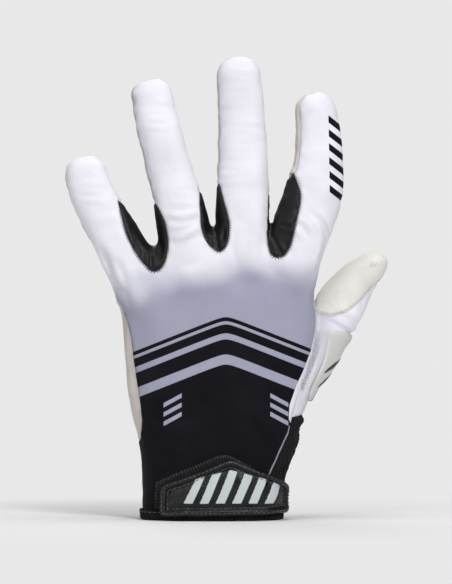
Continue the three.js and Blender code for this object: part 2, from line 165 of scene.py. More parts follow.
# Gussets between the fingers, seen from the back: from one arm's tip round the foot to the other's, x and z
GUSSETS = {
    "gusset_little_ring": (
        (-47.4, 158.4), (-43.9, 144), (-40.7, 136.4), (-36.8, 130), (-33, 125.5), (-29.8, 123.6),
        (-26.6, 125.2), (-24.4, 129.3), (-23.1, 136.4), (-23.5, 141.5), (-24.7, 147.8), (-27.3, 153.6),
        (-32.4, 162.2),
    ),
    "gusset_ring_middle": (
        (-6.9, 167.6), (-6.4, 154.2), (-5.9, 145.9), (-4.3, 140.8), (-1.8, 136.6), (2.1, 133.8),
        (5.3, 135.7), (7.2, 140.2), (7.5, 146.5), (6.9, 150.4), (4.7, 158), (2.4, 166.7),
    ),
    "gusset_middle_index": (
        (27.6, 163), (27.2, 150), (27, 138.9), (27.7, 134.5), (28.9, 131.7), (31.3, 130.6),
        (33.6, 131.1), (36, 133.1), (38.2, 137.4), (40.1, 145), (41.3, 150.8), (42.8, 158),
        (42.6, 164), (39.4, 172.6),
    ),
}
GUSSET_BACK = 6


def spline(points, count):
    """A smooth open curve through points: Catmull-Rom pieces, with the ends drawn on in a straight line."""
    points = np.asarray(points, float)
    ends = np.vstack([2 * points[0] - points[1], points, 2 * points[-1] - points[-2]])
    t = np.linspace(0, len(points) - 1, count)
    k = np.minimum(t.astype(int), len(points) - 2)
    w = (t - k)[:, None]
    a, b, c, d = ends[k], ends[k + 1], ends[k + 2], ends[k + 3]
    return 0.5 * (2 * b + (c - a) * w + (2 * a - 5 * b + 4 * c - d) * w**2 + (3 * b - a - 3 * c + d) * w**3)


def smooth_step(value, low, high):
    """0 below low, 1 above high, and 3t^2 - 2t^3 between."""
    t = np.clip((value - low) / (high - low), 0, 1)
    return t * t * (3 - 2 * t)


def melt(a, b, width):
    """The lesser of two distances, rounded where they are within a width: min - (w - |a-b|)^2 / 4w."""
    h = np.maximum(width - np.abs(a - b), 0)
    return np.minimum(a, b) - h * h / (4 * width)


def unit(v):
    """Vectors scaled to a length of 1."""
    return v / np.maximum(np.linalg.norm(v, axis=-1, keepdims=True), 1e-9)


class Digit:
    """A tube along a curve. Each point knows its place s along the curve, u across and v in depth."""

    def __init__(self, rows):
        dense = spline(rows, DIGIT_POINTS)
        self.centre = dense[:, :3]
        self.half = dense[:, 3:]
        self.along = unit(np.gradient(self.centre, axis=0))
        deep = np.array((0.0, 1.0, 0.0)) - self.along[:, 1:2] * self.along
        self.deep = unit(deep)
        self.wide = np.cross(self.deep, self.along)
        steps = np.linalg.norm(np.diff(self.centre, axis=0), axis=1)
        self.s = np.concatenate([[0], np.cumsum(steps)])
        self.low = self.centre.min(0) - REACH
        self.high = self.centre.max(0) + REACH

    def near(self, p):
        """True for points in the box within reach of the digit."""
        return np.all((p > self.low) & (p < self.high), axis=1)

    def place(self, p):
        """s, u, v and the two half sizes at the nearest place on the curve."""
        square = (self.centre**2).sum(1)[None, :] - 2 * p @ self.centre.T
        k = square.argmin(1)
        d = p - self.centre[k]
        ahead = (d * self.along[k]).sum(1)
        return (
            self.s[k] + ahead,
            (d * self.wide[k]).sum(1),
            (d * self.deep[k]).sum(1),
            self.half[k, 0],
            self.half[k, 1],
        )

    def distance(self, p):
        """About the distance to the tube: (r - 1) / |grad r|, r being 1 on the tube and its round ends."""
        s, u, v, a, b = self.place(p)
        over = np.maximum(s - (self.s[-1] - TIP_LENGTH), -s) / TIP_LENGTH
        return rounded(u / a, v / b, np.maximum(over, 0), a, b, TIP_LENGTH, DIGIT_POWER, TIP_POWER)

    def distance_or_far(self, p):
        """The distance to the tube for points within reach, and a far value for the others."""
        distance = np.full(len(p), FAR)
        near = self.near(p)
        distance[near] = self.distance(p[near])
        return distance


def rounded(x, y, over, a, b, length, power, end_power):
    """First-order distance to r = 1, with w = (|x|^n + |y|^n)^(1/n) and r = (w^m + over^m)^(1/m)."""
    x, y = np.abs(x) + 1e-6, np.abs(y) + 1e-6
    w = (x**power + y**power) ** (1 / power)
    r = (w**end_power + over**end_power) ** (1 / end_power)
    slope_w = (w / r) ** (end_power - 1)
    slope_over = (over / r) ** (end_power - 1) / length
    slope_x = slope_w * (x / w) ** (power - 1) / a
    slope_y = slope_w * (y / w) ** (power - 1) / b
    return (r - 1) / np.sqrt(slope_x**2 + slope_y**2 + slope_over**2)


digits = {name: Digit(rows) for name, rows in DIGITS.items()}
hand_rows = spline(HAND, 400)


def hand_sizes(z):
    """Reach to the left, right, front and back at a level."""
    return [np.interp(z, hand_rows[:, 0], hand_rows[:, k]) for k in range(1, 5)]


def hand_distance(p):
    """About the distance to the hand body, which closes in a rounded cap whose height changes across."""
    x, y, z = p.T
    left, right, front, back = hand_sizes(z)
    a = np.where(x < 0, -left, right)
    b = np.where(y < 0, -front, back)
    top_x, top_z = np.array(HAND_TOP).T
    length = np.interp(x, top_x, top_z) - HAND_CAP
    over = np.maximum(z - HAND_CAP, 0) / length
    return rounded(x / a, y / b, over, a, b, length, HAND_POWER, HAND_CAP_POWER)


def waves(p, size, seed, count=14):
    """A soft random relief between about -1 and 1: plane waves of one size in random directions, summed."""
    rng = np.random.default_rng(seed)
    turn = unit(rng.normal(size=(count, 3))) * (2 * np.pi / size)
    phase = rng.uniform(0, 2 * np.pi, count)
    return np.sin(p @ turn.T + phase).sum(1) / math.sqrt(count)


# Dents and swellings of the back: x, z, how far out, half width, half height
SWELLS = (
    (13.5, 121.5, -3.0, 7, 7),
    (43, 114, -3.0, 6, 8),
    (-21, 112, -1.8, 8, 12),
    (14, 148, -0.7, 7, 9),
    (-39, 118, -0.9, 5, 8),
    (27, 118, 0.9, 9, 12),
    (-4, 120, 0.7, 9, 12),
    (-38, 112, 0.6, 8, 12),
    (-27, 66, 0.5, 14, 20),
    (8, 45, -0.7, 22, 12),
)
# Folds: points of the line seen from the back, x and z, how deep, how wide, how high the roll above it,
# and the side it lies on (-1 back of the hand, 1 palm)
FOLDS = (
    (((49, 152.5), (53, 149), (55.8, 144), (55.8, 137), (54.2, 131), (52, 124)), 2.1, 1.35, 0.9, -1),
    (((40.5, 148.5), (44.5, 145), (47.5, 140)), 0.7, 1.5, 0.6, -1),
    (((-23.5, 149.5), (-16, 148.3), (-7, 151)), 0.85, 1.6, 0.7, -1),
    (((-21.5, 143.5), (-14, 144.8), (-7, 149)), 0.75, 1.5, 0.6, -1),
    (((-19, 136), (-14, 138.5), (-9, 142)), 0.7, 1.7, 0.65, -1),
    (((-18, 126), (-11, 127.5), (-5, 130)), 0.4, 2.4, 0.4, -1),
    (((-23, 154.5), (-17, 154), (-9, 156)), 0.3, 1.6, 0.3, -1),
    (((-57, 136), (-53, 128), (-50, 120), (-48.5, 113)), 1.2, 1.8, 0.9, -1),
    (((-51, 132), (-46.5, 124), (-43.5, 115)), 0.8, 2.0, 0.7, -1),
    (((-49, 118), (-44, 112), (-41, 105)), 0.5, 2.0, 0.4, -1),
    (((10.5, 143), (9.5, 135), (12, 127)), 0.4, 1.8, 0.4, -1),
    (((22, 142), (24, 134), (22, 127)), 0.4, 2.0, 0.4, -1),
    (((26, 128), (31, 122), (38, 119)), 0.4, 2.6, 0.3, -1),
    (((52, 100.5), (60, 97.5), (66, 94.5), (71.5, 91)), 1.3, 1.9, 1.0, -1),
    (((58, 103.5), (66, 100), (72, 97), (76, 97.5)), 0.9, 1.7, 0.8, -1),
    (((48.5, 92), (49.5, 82), (45.5, 72), (43.5, 62), (42.8, 54)), 1.0, 1.7, 0.6, -1),
    (((46.2, 76), (43.2, 67), (40.9, 59), (40.2, 52)), -1.1, 1.7, 0.0, -1),
    (((-31.8, 132), (-31, 125.5)), 0.8, 0.9, 0.6, -1),
    (((-37, 136), (-34, 129.5)), 0.5, 1.0, 0.4, -1),
    (((-26.5, 141), (-26, 131)), 0.5, 1.0, 0.4, -1),
    (((1.4, 139.5), (1.9, 134.8)), 0.8, 0.8, 0.6, -1),
    (((-3.6, 142), (-0.5, 136.5)), 0.5, 0.9, 0.4, -1),
    (((5.2, 146), (4.6, 138)), 0.5, 0.9, 0.4, -1),
    (((29.6, 141), (31.4, 136), (34.8, 131.5)), 0.9, 0.9, 0.6, -1),
    (((28.2, 138), (29.6, 133.4)), 0.6, 0.8, 0.5, -1),
    (((32.5, 148), (37, 146), (40.5, 147)), 0.7, 0.9, 0.6, -1),
    (((-28, 44), (-20, 40), (-8, 41)), 0.5, 2.6, 0.4, -1),
    (((-33, 58), (-27, 49), (-24, 38)), 0.4, 3.0, 0.4, -1),
    (((14, 52), (22, 44), (27, 34)), 0.5, 2.8, 0.4, -1),
    (((-44, 86), (-41, 78), (-42, 70)), 0.5, 2.5, 0.4, 1),
    (((-40, 62), (-20, 66), (5, 72), (30, 76)), 0.9, 4.0, 0.6, 1),
    (((-38, 84), (-15, 92), (8, 95), (28, 92)), 0.9, 3.5, 0.6, 1),
    (((22, 50), (12, 64), (14, 82), (30, 97)), 1.3, 3.5, 0.9, 1),
    (((-60, 146), (-52, 143), (-45, 147)), 0.8, 2.2, 0.6, 1),
    (((-27, 158), (-19, 156), (-10, 160)), 0.8, 2.2, 0.6, 1),
    (((3, 161), (14, 159), (26, 162)), 0.8, 2.2, 0.6, 1),
    (((35, 154), (46, 151), (58, 156)), 0.8, 2.2, 0.6, 1),
)


def line_distance(x, z, line, closed=False):
    """Distance to a line of points, and the share of its length at the nearest place."""
    line = np.asarray(line, float)
    if closed:
        line = np.vstack([line, line[:1]])
    a, b = line[:-1], line[1:]
    run = b - a
    long = np.maximum((run**2).sum(1), 1e-9)
    best = np.full(x.shape, 1e9)
    share = np.zeros(x.shape)
    start = np.concatenate([[0], np.cumsum(np.sqrt(long))])
    for k in range(len(run)):
        t = np.clip(((x - a[k, 0]) * run[k, 0] + (z - a[k, 1]) * run[k, 1]) / long[k], 0, 1)
        d = np.hypot(x - a[k, 0] - t * run[k, 0], z - a[k, 1] - t * run[k, 1])
        closer = d < best
        best = np.where(closer, d, best)
        share = np.where(closer, (start[k] + t * math.sqrt(long[k])) / start[-1], share)
    return best, share


def inside_outline(x, z, line):
    """True inside a closed outline: an upright ray from the point crosses it an odd number of times."""
    line = np.asarray(line, float)
    odd = np.zeros(x.shape, bool)
    for (ax, az), (bx, bz) in zip(line, np.roll(line, -1, axis=0)):
        if ax == bx:
            continue
        spans = (ax > x) != (bx > x)
        odd ^= spans & (z < (bz - az) * (x - ax) / (bx - ax) + az)
    return odd


def outline_distance(x, z, line):
    """Distance to a closed outline, less than nothing inside."""
    d, _ = line_distance(x, z, line, closed=True)
    return np.where(inside_outline(x, z, line), -d, d)


def relief(p):
    """How far the cloth stands out from the plain form: swellings, folds with a roll beside them, soft waves,
    and low creases across the fingers."""
    x, y, z = p.T
    on_back = smooth_step(-y, 0, 9)
    out = np.zeros(len(p))
    for cx, cz, high, wide, tall in SWELLS:
        out += high * on_back * np.exp(-(((x - cx) / wide) ** 2) - ((z - cz) / tall) ** 2)
    for line, deep, wide, roll, side in FOLDS:
        dense = spline(line, 14)
        low, high = dense.min(0) - 4 * wide, dense.max(0) + 4 * wide
        near = (x > low[0]) & (x < high[0]) & (z > low[1]) & (z < high[1])
        if side < 0:
            near &= y < 22
        else:
            near &= y > 4
        d, share = line_distance(x[near], z[near], dense)
        fade = np.sin(np.pi * np.clip(share, 0.02, 0.98)) ** 0.6
        if side < 0:
            fade *= np.where(z[near] > 112, smooth_step(-y[near], 0, 6), 1)
        crease = -deep * np.exp(-((d / wide) ** 2)) + roll * np.exp(-(((d - 2 * wide) / (1.3 * wide)) ** 2))
        out[near] += fade * crease
    fingers = smooth_step(z, 134, 150) * (0.5 + 0.5 * np.clip(waves(p, 22, 9), -1, 1))
    level = 0.22 * waves(p * (0.3, 0.3, 1.0), 7.5, 13) + 0.12 * waves(p * (0.4, 0.4, 1.0), 4.2, 17)
    return out + 0.25 * waves(p, 38, 3) + 0.17 * waves(p, 14, 5) + fingers * level


def skin_distance(p):
    """About the distance to the glove's skin: the tubes melted together, less the relief of the cloth."""
    each = {name: digit.distance_or_far(p) for name, digit in digits.items()}
    fingers = melt(each["little"], each["ring"], MELT_FINGERS)
    fingers = melt(fingers, melt(each["middle"], each["index"], MELT_FINGERS), MELT_FINGERS)
    whole = melt(hand_distance(p), fingers, MELT_HAND)
    whole = melt(whole, each["thumb"], MELT_THUMB)
    return whole - relief(p)


def slope(p, step=0.25):
    """The field's value and its gradient, from four points at the corners of a small tetrahedron."""
    corners = np.array(((1, 1, 1), (1, -1, -1), (-1, 1, -1), (-1, -1, 1)), float)
    values = np.array([skin_distance(p + step * c) for c in corners])
    return values.mean(0), np.einsum("kn,kc->nc", values, corners) / (4 * step)


def tube_outline(sides=24):
    """u and v round a superellipse of half size 1: the ring of the rough form that is remeshed."""
    angle = np.linspace(0, 2 * np.pi, sides, endpoint=False)
    c, s = np.cos(angle), np.sin(angle)
    u = np.sign(c) * np.abs(c) ** (2 / DIGIT_POWER)
    v = np.sign(s) * np.abs(s) ** (2 / DIGIT_POWER)
    return u, v


def grid_faces(rows, columns, wrap=True, start=0):
    """Quads between neighbouring rows of a grid whose rows may close on themselves."""
    r = np.arange(rows - 1)[:, None] * columns
    c = np.arange(columns if wrap else columns - 1)[None, :]
    n = (c + 1) % columns
    return start + np.stack([r + c, r + n, r + columns + n, r + columns + c], -1).reshape(-1, 4)


def rough_form():
    """The tubes as closed grids: a ring is centre + u half-width + v half-depth, shrunk towards the ends."""
    points, faces = [], []
    count = 0

    def close(rings):
        nonlocal count
        rows, sides = rings.shape[:2]
        points.append(rings.reshape(-1, 3))
        faces.extend(grid_faces(rows, sides, start=count).tolist())
        faces.append((count + np.arange(sides))[::-1].tolist())
        faces.append((count + (rows - 1) * sides + np.arange(sides)).tolist())
        count += rows * sides

    u, v = tube_outline()
    for digit in digits.values():
        end = digit.s[-1]
        tip = end - TIP_LENGTH * np.array([0.8, 0.6, 0.4, 0.2, 0.08, 0.01])
        s = np.concatenate([np.linspace(0, end - TIP_LENGTH, 22), tip])
        left = np.minimum((end - s) / TIP_LENGTH, 1)
        shrink = (1 - (1 - left) ** TIP_POWER) ** (1 / TIP_POWER)
        centre, wide, deep, half = (
            np.stack([np.interp(s, digit.s, column) for column in part.T], -1)
            for part in (digit.centre, digit.wide, digit.deep, digit.half)
        )
        rings = (
            centre[:, None]
            + (shrink * half[:, 0])[:, None, None] * u[None, :, None] * wide[:, None]
            + (shrink * half[:, 1])[:, None, None] * v[None, :, None] * deep[:, None]
        )
        close(rings)
    z = np.concatenate([np.linspace(-14, HAND_CAP, 30), [124, 130, 135, 138, 140]])
    left, right, front, back = hand_sizes(z)
    closed = np.clip((z - HAND_CAP) / 25, 0, 0.98)
    shrink = (1 - closed**HAND_CAP_POWER) ** (1 / HAND_CAP_POWER)
    x = np.where(u[None] < 0, -left[:, None], right[:, None]) * u[None] * shrink[:, None]
    y = np.where(v[None] < 0, -front[:, None], back[:, None]) * v[None] * shrink[:, None]
    close(np.stack([x, y, np.broadcast_to(z[:, None], x.shape)], -1))
    return np.vstack(points), faces


def remeshed(points, faces, size):
    """The outer surface of overlapping closed forms, as even quads."""
    mesh = bpy.data.meshes.new("rough")
    mesh.from_pydata(points.tolist(), [], faces)
    thing = bpy.data.objects.new("rough", mesh)
    bpy.context.collection.objects.link(thing)
    modifier = thing.modifiers.new("Remesh", "REMESH")
    modifier.mode = "VOXEL"
    modifier.voxel_size = size
    done = thing.evaluated_get(bpy.context.evaluated_depsgraph_get()).to_mesh()
    p = np.empty(len(done.vertices) * 3)
    done.vertices.foreach_get("co", p)
    loops = np.empty(len(done.loops), int)
    done.loops.foreach_get("vertex_index", loops)
    total = np.empty(len(done.polygons), int)
    done.polygons.foreach_get("loop_total", total)
    assert (total == 4).all()
    bpy.data.objects.remove(thing)
    bpy.data.meshes.remove(mesh)
    return p.reshape(-1, 3), loops.reshape(-1, 4)


def neighbour_mean(p, edges):
    """The middle of each point's neighbours."""
    total = np.zeros_like(p)
    for axis in range(3):
        total[:, axis] = np.bincount(edges[:, 0], p[edges[:, 1], axis], len(p))
        total[:, axis] += np.bincount(edges[:, 1], p[edges[:, 0], axis], len(p))
    count = np.bincount(edges.ravel(), minlength=len(p))
    return total / np.maximum(count, 1)[:, None]


def all_edges(faces):
    """Each edge of a mesh once, with the lower point first."""
    pairs = np.stack([faces, np.roll(faces, -1, axis=1)], -1).reshape(-1, 2)
    return np.unique(np.sort(pairs, axis=1), axis=0)


def drawn_to_skin(p, quads):
    """Points moved onto the skin by Newton steps, and eased along it towards their neighbours' middle."""
    edges = all_edges(quads)
    for ease in (0.5, 0.5, 0.4, 0.3, 0.2, 0.0, 0.0):
        value, gradient = slope(p)
        steep = np.maximum((gradient**2).sum(1), 0.2)
        p = p - gradient * np.clip(value / steep, -1.5, 1.5)[:, None]
        if ease:
            normal = unit(gradient)
            pull = neighbour_mean(p, edges) - p
            p = p + ease * (pull - (pull * normal).sum(1)[:, None] * normal)
    return p


def split(mesh, value):
    """A triangle mesh cut where a value is 0: the part below and the part above. Points near the cut move
    onto it."""
    p, faces = mesh[0].copy(), mesh[1]
    value = value.copy()
    a, b = all_edges(faces).T
    crossing = value[a] * value[b] < 0
    a, b = a[crossing], b[crossing]
    t = value[a] / (value[a] - value[b])
    for near, end, start, share in ((t < 0.22, a, b, t), (t > 0.78, b, a, 1 - t)):
        p[end[near]] += (mesh[0][start[near]] - mesh[0][end[near]]) * share[near, None]
        value[end[near]] = 0
    keep = value[a] * value[b] < 0
    a, b = a[keep], b[keep]
    t = value[a] / (value[a] - value[b])
    keys = a * len(p) + b
    middle = len(p) + np.arange(len(keys))
    points = np.vstack([p, p[a] + (p[b] - p[a]) * t[:, None]])

    def cut_point(one, two):
        return middle[np.searchsorted(keys, np.minimum(one, two) * len(p) + np.maximum(one, two))]

    sign = np.sign(value)[faces]
    below = [faces[(sign <= 0).all(1) & (sign < 0).any(1)]]
    above = [faces[(sign >= 0).all(1) & (sign > 0).any(1)]]
    for turn in range(3):
        f, s = np.roll(faces, turn, axis=1), np.roll(sign, turn, axis=1)
        for lone, own, other in ((-1, below, above), (1, above, below)):
            pick = (s[:, 0] == lone) & (s[:, 1] == -lone) & (s[:, 2] == -lone)
            i, j, k = f[pick].T
            ij, ik = cut_point(i, j), cut_point(i, k)
            own.append(np.stack([i, ij, ik], -1))
            other.append(np.stack([ij, j, k], -1))
            other.append(np.stack([ij, k, ik], -1))
            pick = (s[:, 0] == 0) & (s[:, 1] == lone) & (s[:, 2] == -lone)
            i, j, k = f[pick].T
            jk = cut_point(j, k)
            own.append(np.stack([i, j, jk], -1))
            other.append(np.stack([i, jk, k], -1))
    return tidy(points, np.vstack(below)), tidy(points, np.vstack(above))


def tidy(points, faces):
    """Only the points that faces use."""
    used, faces = np.unique(faces, return_inverse=True)
    return points[used], faces.reshape(-1, 3)


def without_scraps(mesh):
    """The mesh without its stray scraps. Each part takes the lowest number of its points as its label."""
    p, faces = mesh
    label = np.arange(len(p))
    for _ in range(400):
        low = label[faces].min(1)
        before = label.copy()
        for corner in range(3):
            np.minimum.at(label, faces[:, corner], low)
        label = label[label]
        if (label == before).all():
            break
    own = label[faces[:, 0]]
    names, count = np.unique(own, return_counts=True)
    return tidy(p, faces[np.isin(own, names[count >= SCRAP])])


def settled(panels):
    """The panels with each stray scrap given to the panel it touches most. Faces that share an edge and a
    panel take the lesser of their labels until none changes, so that each part has one label."""
    names = list(panels)
    starts = np.cumsum([0] + [len(panels[name][0]) for name in names])
    points = np.vstack([panels[name][0] for name in names])
    faces = np.vstack([panels[name][1] + start for name, start in zip(names, starts)])
    owner = np.repeat(np.arange(len(names)), [len(panels[name][1]) for name in names])
    _, first, place = np.unique(np.round(points, 4), axis=0, return_index=True, return_inverse=True)
    points, faces = points[first], place.reshape(-1)[faces]
    sound = (faces != np.roll(faces, 1, axis=1)).all(1)
    faces, owner = faces[sound], owner[sound]
    sides = np.sort(np.stack([faces, np.roll(faces, -1, axis=1)], -1).reshape(-1, 2), axis=1)
    key = sides[:, 0] * len(points) + sides[:, 1]
    order = np.argsort(key, kind="stable")
    shared = key[order][:-1] == key[order][1:]
    one, two = order[:-1][shared] // 3, order[1:][shared] // 3
    alike = owner[one] == owner[two]
    label = np.arange(len(faces))
    changed = True
    while changed:
        before = label.copy()
        low = np.minimum(label[one[alike]], label[two[alike]])
        np.minimum.at(label, one[alike], low)
        np.minimum.at(label, two[alike], low)
        label = label[label]
        changed = (label != before).any()
    _, part, count = np.unique(label, return_inverse=True, return_counts=True)
    for scrap in np.flatnonzero(count < SCRAP):
        inside = part == scrap
        ahead, behind = two[inside[one] & ~inside[two]], one[inside[two] & ~inside[one]]
        beside = owner[np.concatenate([ahead, behind])]
        owner[inside] = np.bincount(beside).argmax() if len(beside) else -1
    return {name: tidy(points, faces[owner == k]) for k, name in enumerate(names)}


def border(faces):
    """Directed edges with a face on one side only."""
    pairs = np.stack([faces, np.roll(faces, -1, axis=1)], -1).reshape(-1, 2)
    sides = np.sort(pairs, axis=1)
    _, first, count = np.unique(sides, axis=0, return_index=True, return_counts=True)
    return pairs[first[count == 1]]


def nearest(p, targets, chunk=4000):
    """Distance from each point to the nearest of some targets, in slices that fit in memory."""
    out = np.empty(len(p))
    square = (targets**2).sum(1)
    for k in range(0, len(p), chunk):
        q = p[k : k + chunk]
        d = square[None] - 2 * q @ targets.T
        out[k : k + chunk] = np.sqrt(np.maximum(d.min(1) + (q**2).sum(1), 0))
    return out


def make_mesh(name, points, faces, material, uv=None, numbers=None):
    """A smooth mesh object at the origin from points in millimetres and arrays of faces, with an optional UV
    map and named numbers per point."""
    mesh = bpy.data.meshes.new(name)
    mesh.from_pydata((points * MM).tolist(), [], [face for group in faces for face in group.tolist()])
    mesh.shade_smooth()
    if uv is not None:
        corner = np.empty(len(mesh.loops), int)
        mesh.loops.foreach_get("vertex_index", corner)
        layer = mesh.uv_layers.new(name="weave")
        layer.data.foreach_set("uv", uv[corner].ravel())
    for key, values in (numbers or {}).items():
        layer = mesh.attributes.new(key, "FLOAT", "POINT")
        layer.data.foreach_set("value", values)
    mesh.materials.append(material)
    thing = bpy.data.objects.new(name, mesh)
    bpy.context.collection.objects.link(thing)
    return thing


def cloth_places(p):
    """Place on the cloth in millimetres, round the wrist and up, or round a digit and along it: a mean by
    nearness, with weights exp(-d / 4)."""
    x, y, z = p.T
    left, right, front, back = hand_sizes(z)
    a = np.where(x < 0, -left, right)
    side = np.sign(-y + 1e-6)
    across = a * np.arcsin(np.clip(x / (a * 1.05), -1, 1))
    weights = [np.exp(-np.clip(hand_distance(p), -3, 40) / 4)]
    places = [np.stack([side * across, z], -1)]
    for digit in digits.values():
        s, u, v, a, b = digit.place(p)
        angle = np.arctan2(u / a, -v / b)
        quarter = DIGIT_POINTS // 4
        base = digit.centre[quarter]
        round_it = 0.5 * (a + b) * angle
        places.append(np.stack([base[0] + round_it, base[2] - digit.s[quarter] + s], -1))
        weights.append(np.exp(-np.clip(digit.distance_or_far(p), -3, 40) / 4))
    weights = np.array(weights)
    return np.einsum("kn,knc->nc", weights / weights.sum(0), np.array(places))


def walled(name, mesh, material, out=None, inner=None, numbers=None):
    """A panel with a wall. Its outside dips and puckers towards its border, as sewn cloth does:
    out = -0.55 exp(-(d/1.1)^2) + 0.33 waves exp(-d/2.4), d being the distance to the border. The inside lies
    a cloth's thickness below, or at a height of its own."""
    p, faces = mesh
    _, gradient = slope(p)
    normal = unit(gradient)
    edge = border(faces)
    d = nearest(p, p[np.unique(edge)])
    if out is None:
        height = -0.55 * np.exp(-((d / 1.1) ** 2)) + 0.33 * waves(p, 5.5, 11) * np.exp(-d / 2.4) * (d > 0.01)
    else:
        height = out(p, d)
    outside = p + normal * height[:, None]
    inside = outside - normal * CLOTH if inner is None else p + normal * inner
    count = len(p)
    rim = np.stack([edge[:, 1], edge[:, 0], edge[:, 0] + count, edge[:, 1] + count], -1)
    uv = np.tile(cloth_places(p), (2, 1))
    values = {key: np.tile(value, 2) for key, value in (numbers or {}).items()}
    values["border"] = np.tile(d, 2)
    both = np.vstack([outside, inside])
    return make_mesh(name, both, [faces, faces[:, ::-1] + count, rim], material, uv=uv, numbers=values)


def srgb(text):
    """A colour from its sRGB hex, turned to linear."""
    parts = [int(text[k : k + 2], 16) / 255 for k in (1, 3, 5)]
    return (*[v / 12.92 if v <= 0.04045 else ((v + 0.055) / 1.055) ** 2.4 for v in parts], 1.0)


def add(tree, kind, inputs=None, **settings):
    """Adds a node, sets its settings, and fills or links its inputs."""
    node = tree.nodes.new(kind)
    for key, value in settings.items():
        setattr(node, key, value)
    for key, value in (inputs or {}).items():
        if isinstance(value, bpy.types.NodeSocket):
            tree.links.new(value, node.inputs[key])
        else:
            node.inputs[key].default_value = value
    return node


def new_material(name, roughness, sheen=0.0, sheen_colour="#FFFFFF", shine=0.5):
    """A material, its tree and its shader, with its uniform values set."""
    material = bpy.data.materials.new(name)
    material.use_nodes = True
    tree = material.node_tree
    shader = tree.nodes["Principled BSDF"]
    shader.inputs["Roughness"].default_value = roughness
    shader.inputs["Specular IOR Level"].default_value = shine
    shader.inputs["Sheen Weight"].default_value = sheen
    shader.inputs["Sheen Tint"].default_value = srgb(sheen_colour)
    return material, tree, shader


def math_of(tree, operation, a, b=0.0, c=0.0):
    """One step of arithmetic on two or three values or sockets."""
    return add(tree, "ShaderNodeMath", {0: a, 1: b, 2: c}, operation=operation).outputs[0]


def ramp(tree, value, low, high, start=0.0, end=1.0, way="LINEAR"):
    """A value's way from low to high turned into the way from start to end, and held beyond both."""
    inputs = {"Value": value, "From Min": low, "From Max": high, "To Min": start, "To Max": end}
    return add(tree, "ShaderNodeMapRange", inputs, interpolation_type=way).outputs[0]


def between(tree, value, low, high, soft):
    """1 where a value lies between two others, with soft ends."""
    rise = ramp(tree, value, low - soft, low + soft, way="SMOOTHSTEP")
    drop = ramp(tree, value, high - soft, high + soft, 1.0, 0.0, way="SMOOTHSTEP")
    return math_of(tree, "MULTIPLY", rise, drop)


def mixed(tree, share, one, two):
    """One colour turning into another by a share."""
    node = add(tree, "ShaderNodeMix", data_type="RGBA")
    for socket, value in ((node.inputs[0], share), (node.inputs[6], one), (node.inputs[7], two)):
        if isinstance(value, bpy.types.NodeSocket):
            tree.links.new(value, socket)
        else:
            socket.default_value = value
    return node.outputs[2]


def dented(tree, shader, height, deep_mm):
    """Turns a height from 0 to 1 into a relief of a depth in millimetres."""
    bump = add(tree, "ShaderNodeBump", {"Height": height, "Distance": deep_mm * MM, "Strength": 1.0})
    tree.links.new(bump.outputs[0], shader.inputs["Normal"])


def number(tree, name):
    """A named number that the mesh keeps for each point."""
    return add(tree, "ShaderNodeAttribute", attribute_name=name).outputs["Fac"]


def speckle(tree, size_mm, detail=2.0, rough=0.5):
    """Soft noise of a size in millimetres over the object."""
    place = add(tree, "ShaderNodeTexCoord").outputs["Object"]
    node = add(
        tree, "ShaderNodeTexNoise",
        {"Vector": place, "Scale": 1000 / size_mm, "Detail": detail, "Roughness": rough},
    )
    return node.outputs["Fac"]


def loops_of(tree, wale_mm, course_mm, slant=0.5):
    """The relief of a knit: columns of V-shaped loops, a course being a sine of v/course + slant |u/wale|."""
    place = add(tree, "ShaderNodeUVMap", uv_map="weave").outputs[0]
    parts = add(tree, "ShaderNodeSeparateXYZ", {0: place})
    column = math_of(tree, "FRACT", math_of(tree, "DIVIDE", parts.outputs[0], wale_mm))
    lean = math_of(tree, "ABSOLUTE", math_of(tree, "SUBTRACT", column, 0.5))
    turn = math_of(tree, "MULTIPLY", lean, slant * 4 * math.pi)
    along = math_of(tree, "MULTIPLY_ADD", parts.outputs[1], 2 * math.pi / course_mm, turn)
    course = math_of(tree, "MULTIPLY_ADD", math_of(tree, "SINE", along), 0.25, 0.5)
    wale = math_of(tree, "SINE", math_of(tree, "MULTIPLY", column, math.pi))
    return math_of(tree, "MULTIPLY_ADD", wale, 0.6, math_of(tree, "MULTIPLY", course, 0.6))


WHITE = "#F2F1FA"
# Lavender of the print, darkened as painted shade of the valley behind the knuckles
LAVENDER_AND_SHADE = "#A5A6BA"
INK = "#0E0C11"

CHEVRON_X = 6.0  # where the chevrons have their points
# Printed stripes over the back, by their height over the chevron's line: from, to
PALE_STRIPES = ((77.5, 82.5), (90, 93), (97.4, 99))
PRINT_TOP = 101
PRINT_SOFT = 0.08  # half width of a printed edge
# Short pale bars on both sides of the chevron: their slant, their lower edges, their width, from and to
SHORT_SLANT, SHORT_BARS, SHORT_WIDE, SHORT_ACROSS = 0.55, (64.0, 68.6, 73.2), 2.2, (22.0, 31.0)
FINGER_BARS = (163.0, 204.0, 6.9, 3.6)  # along the index finger: from, to, pitch and width
FINGER_SLANT, FINGER_X = 0.75, 58.0
FADE = (127.5, 146.5)  # heights between which the lavender turns to white
# x at which the lavender's painted shade reaches highest; to both sides the knuckles are painted lighter, a
# painted highlight
SHADE_MIDDLE_X = 14.0
EDGE_LINE = (0.3, 1.45)  # pale line beside the panel's edge on the thumb side of the cuff: from, to
EDGE_LINE_X, EDGE_LINE_TOP = 22.0, 47.0
# Line of the ladder seam along the tape
TAPE_LINE = ((51.8, 93), (51.6, 88), (50.2, 81.5), (47.8, 75.5), (45.3, 70), (43.4, 65))
# Edge of the print on the thumb side, where the white tape starts: level, x
TAPE_EDGE = (
    (20, 40), (46, 40), (50, 37.2), (57, 37.6), (67, 41), (75, 44.8), (84, 48.2), (93, 50.4), (104, 52),
)
TAPE_TOP = 104.0


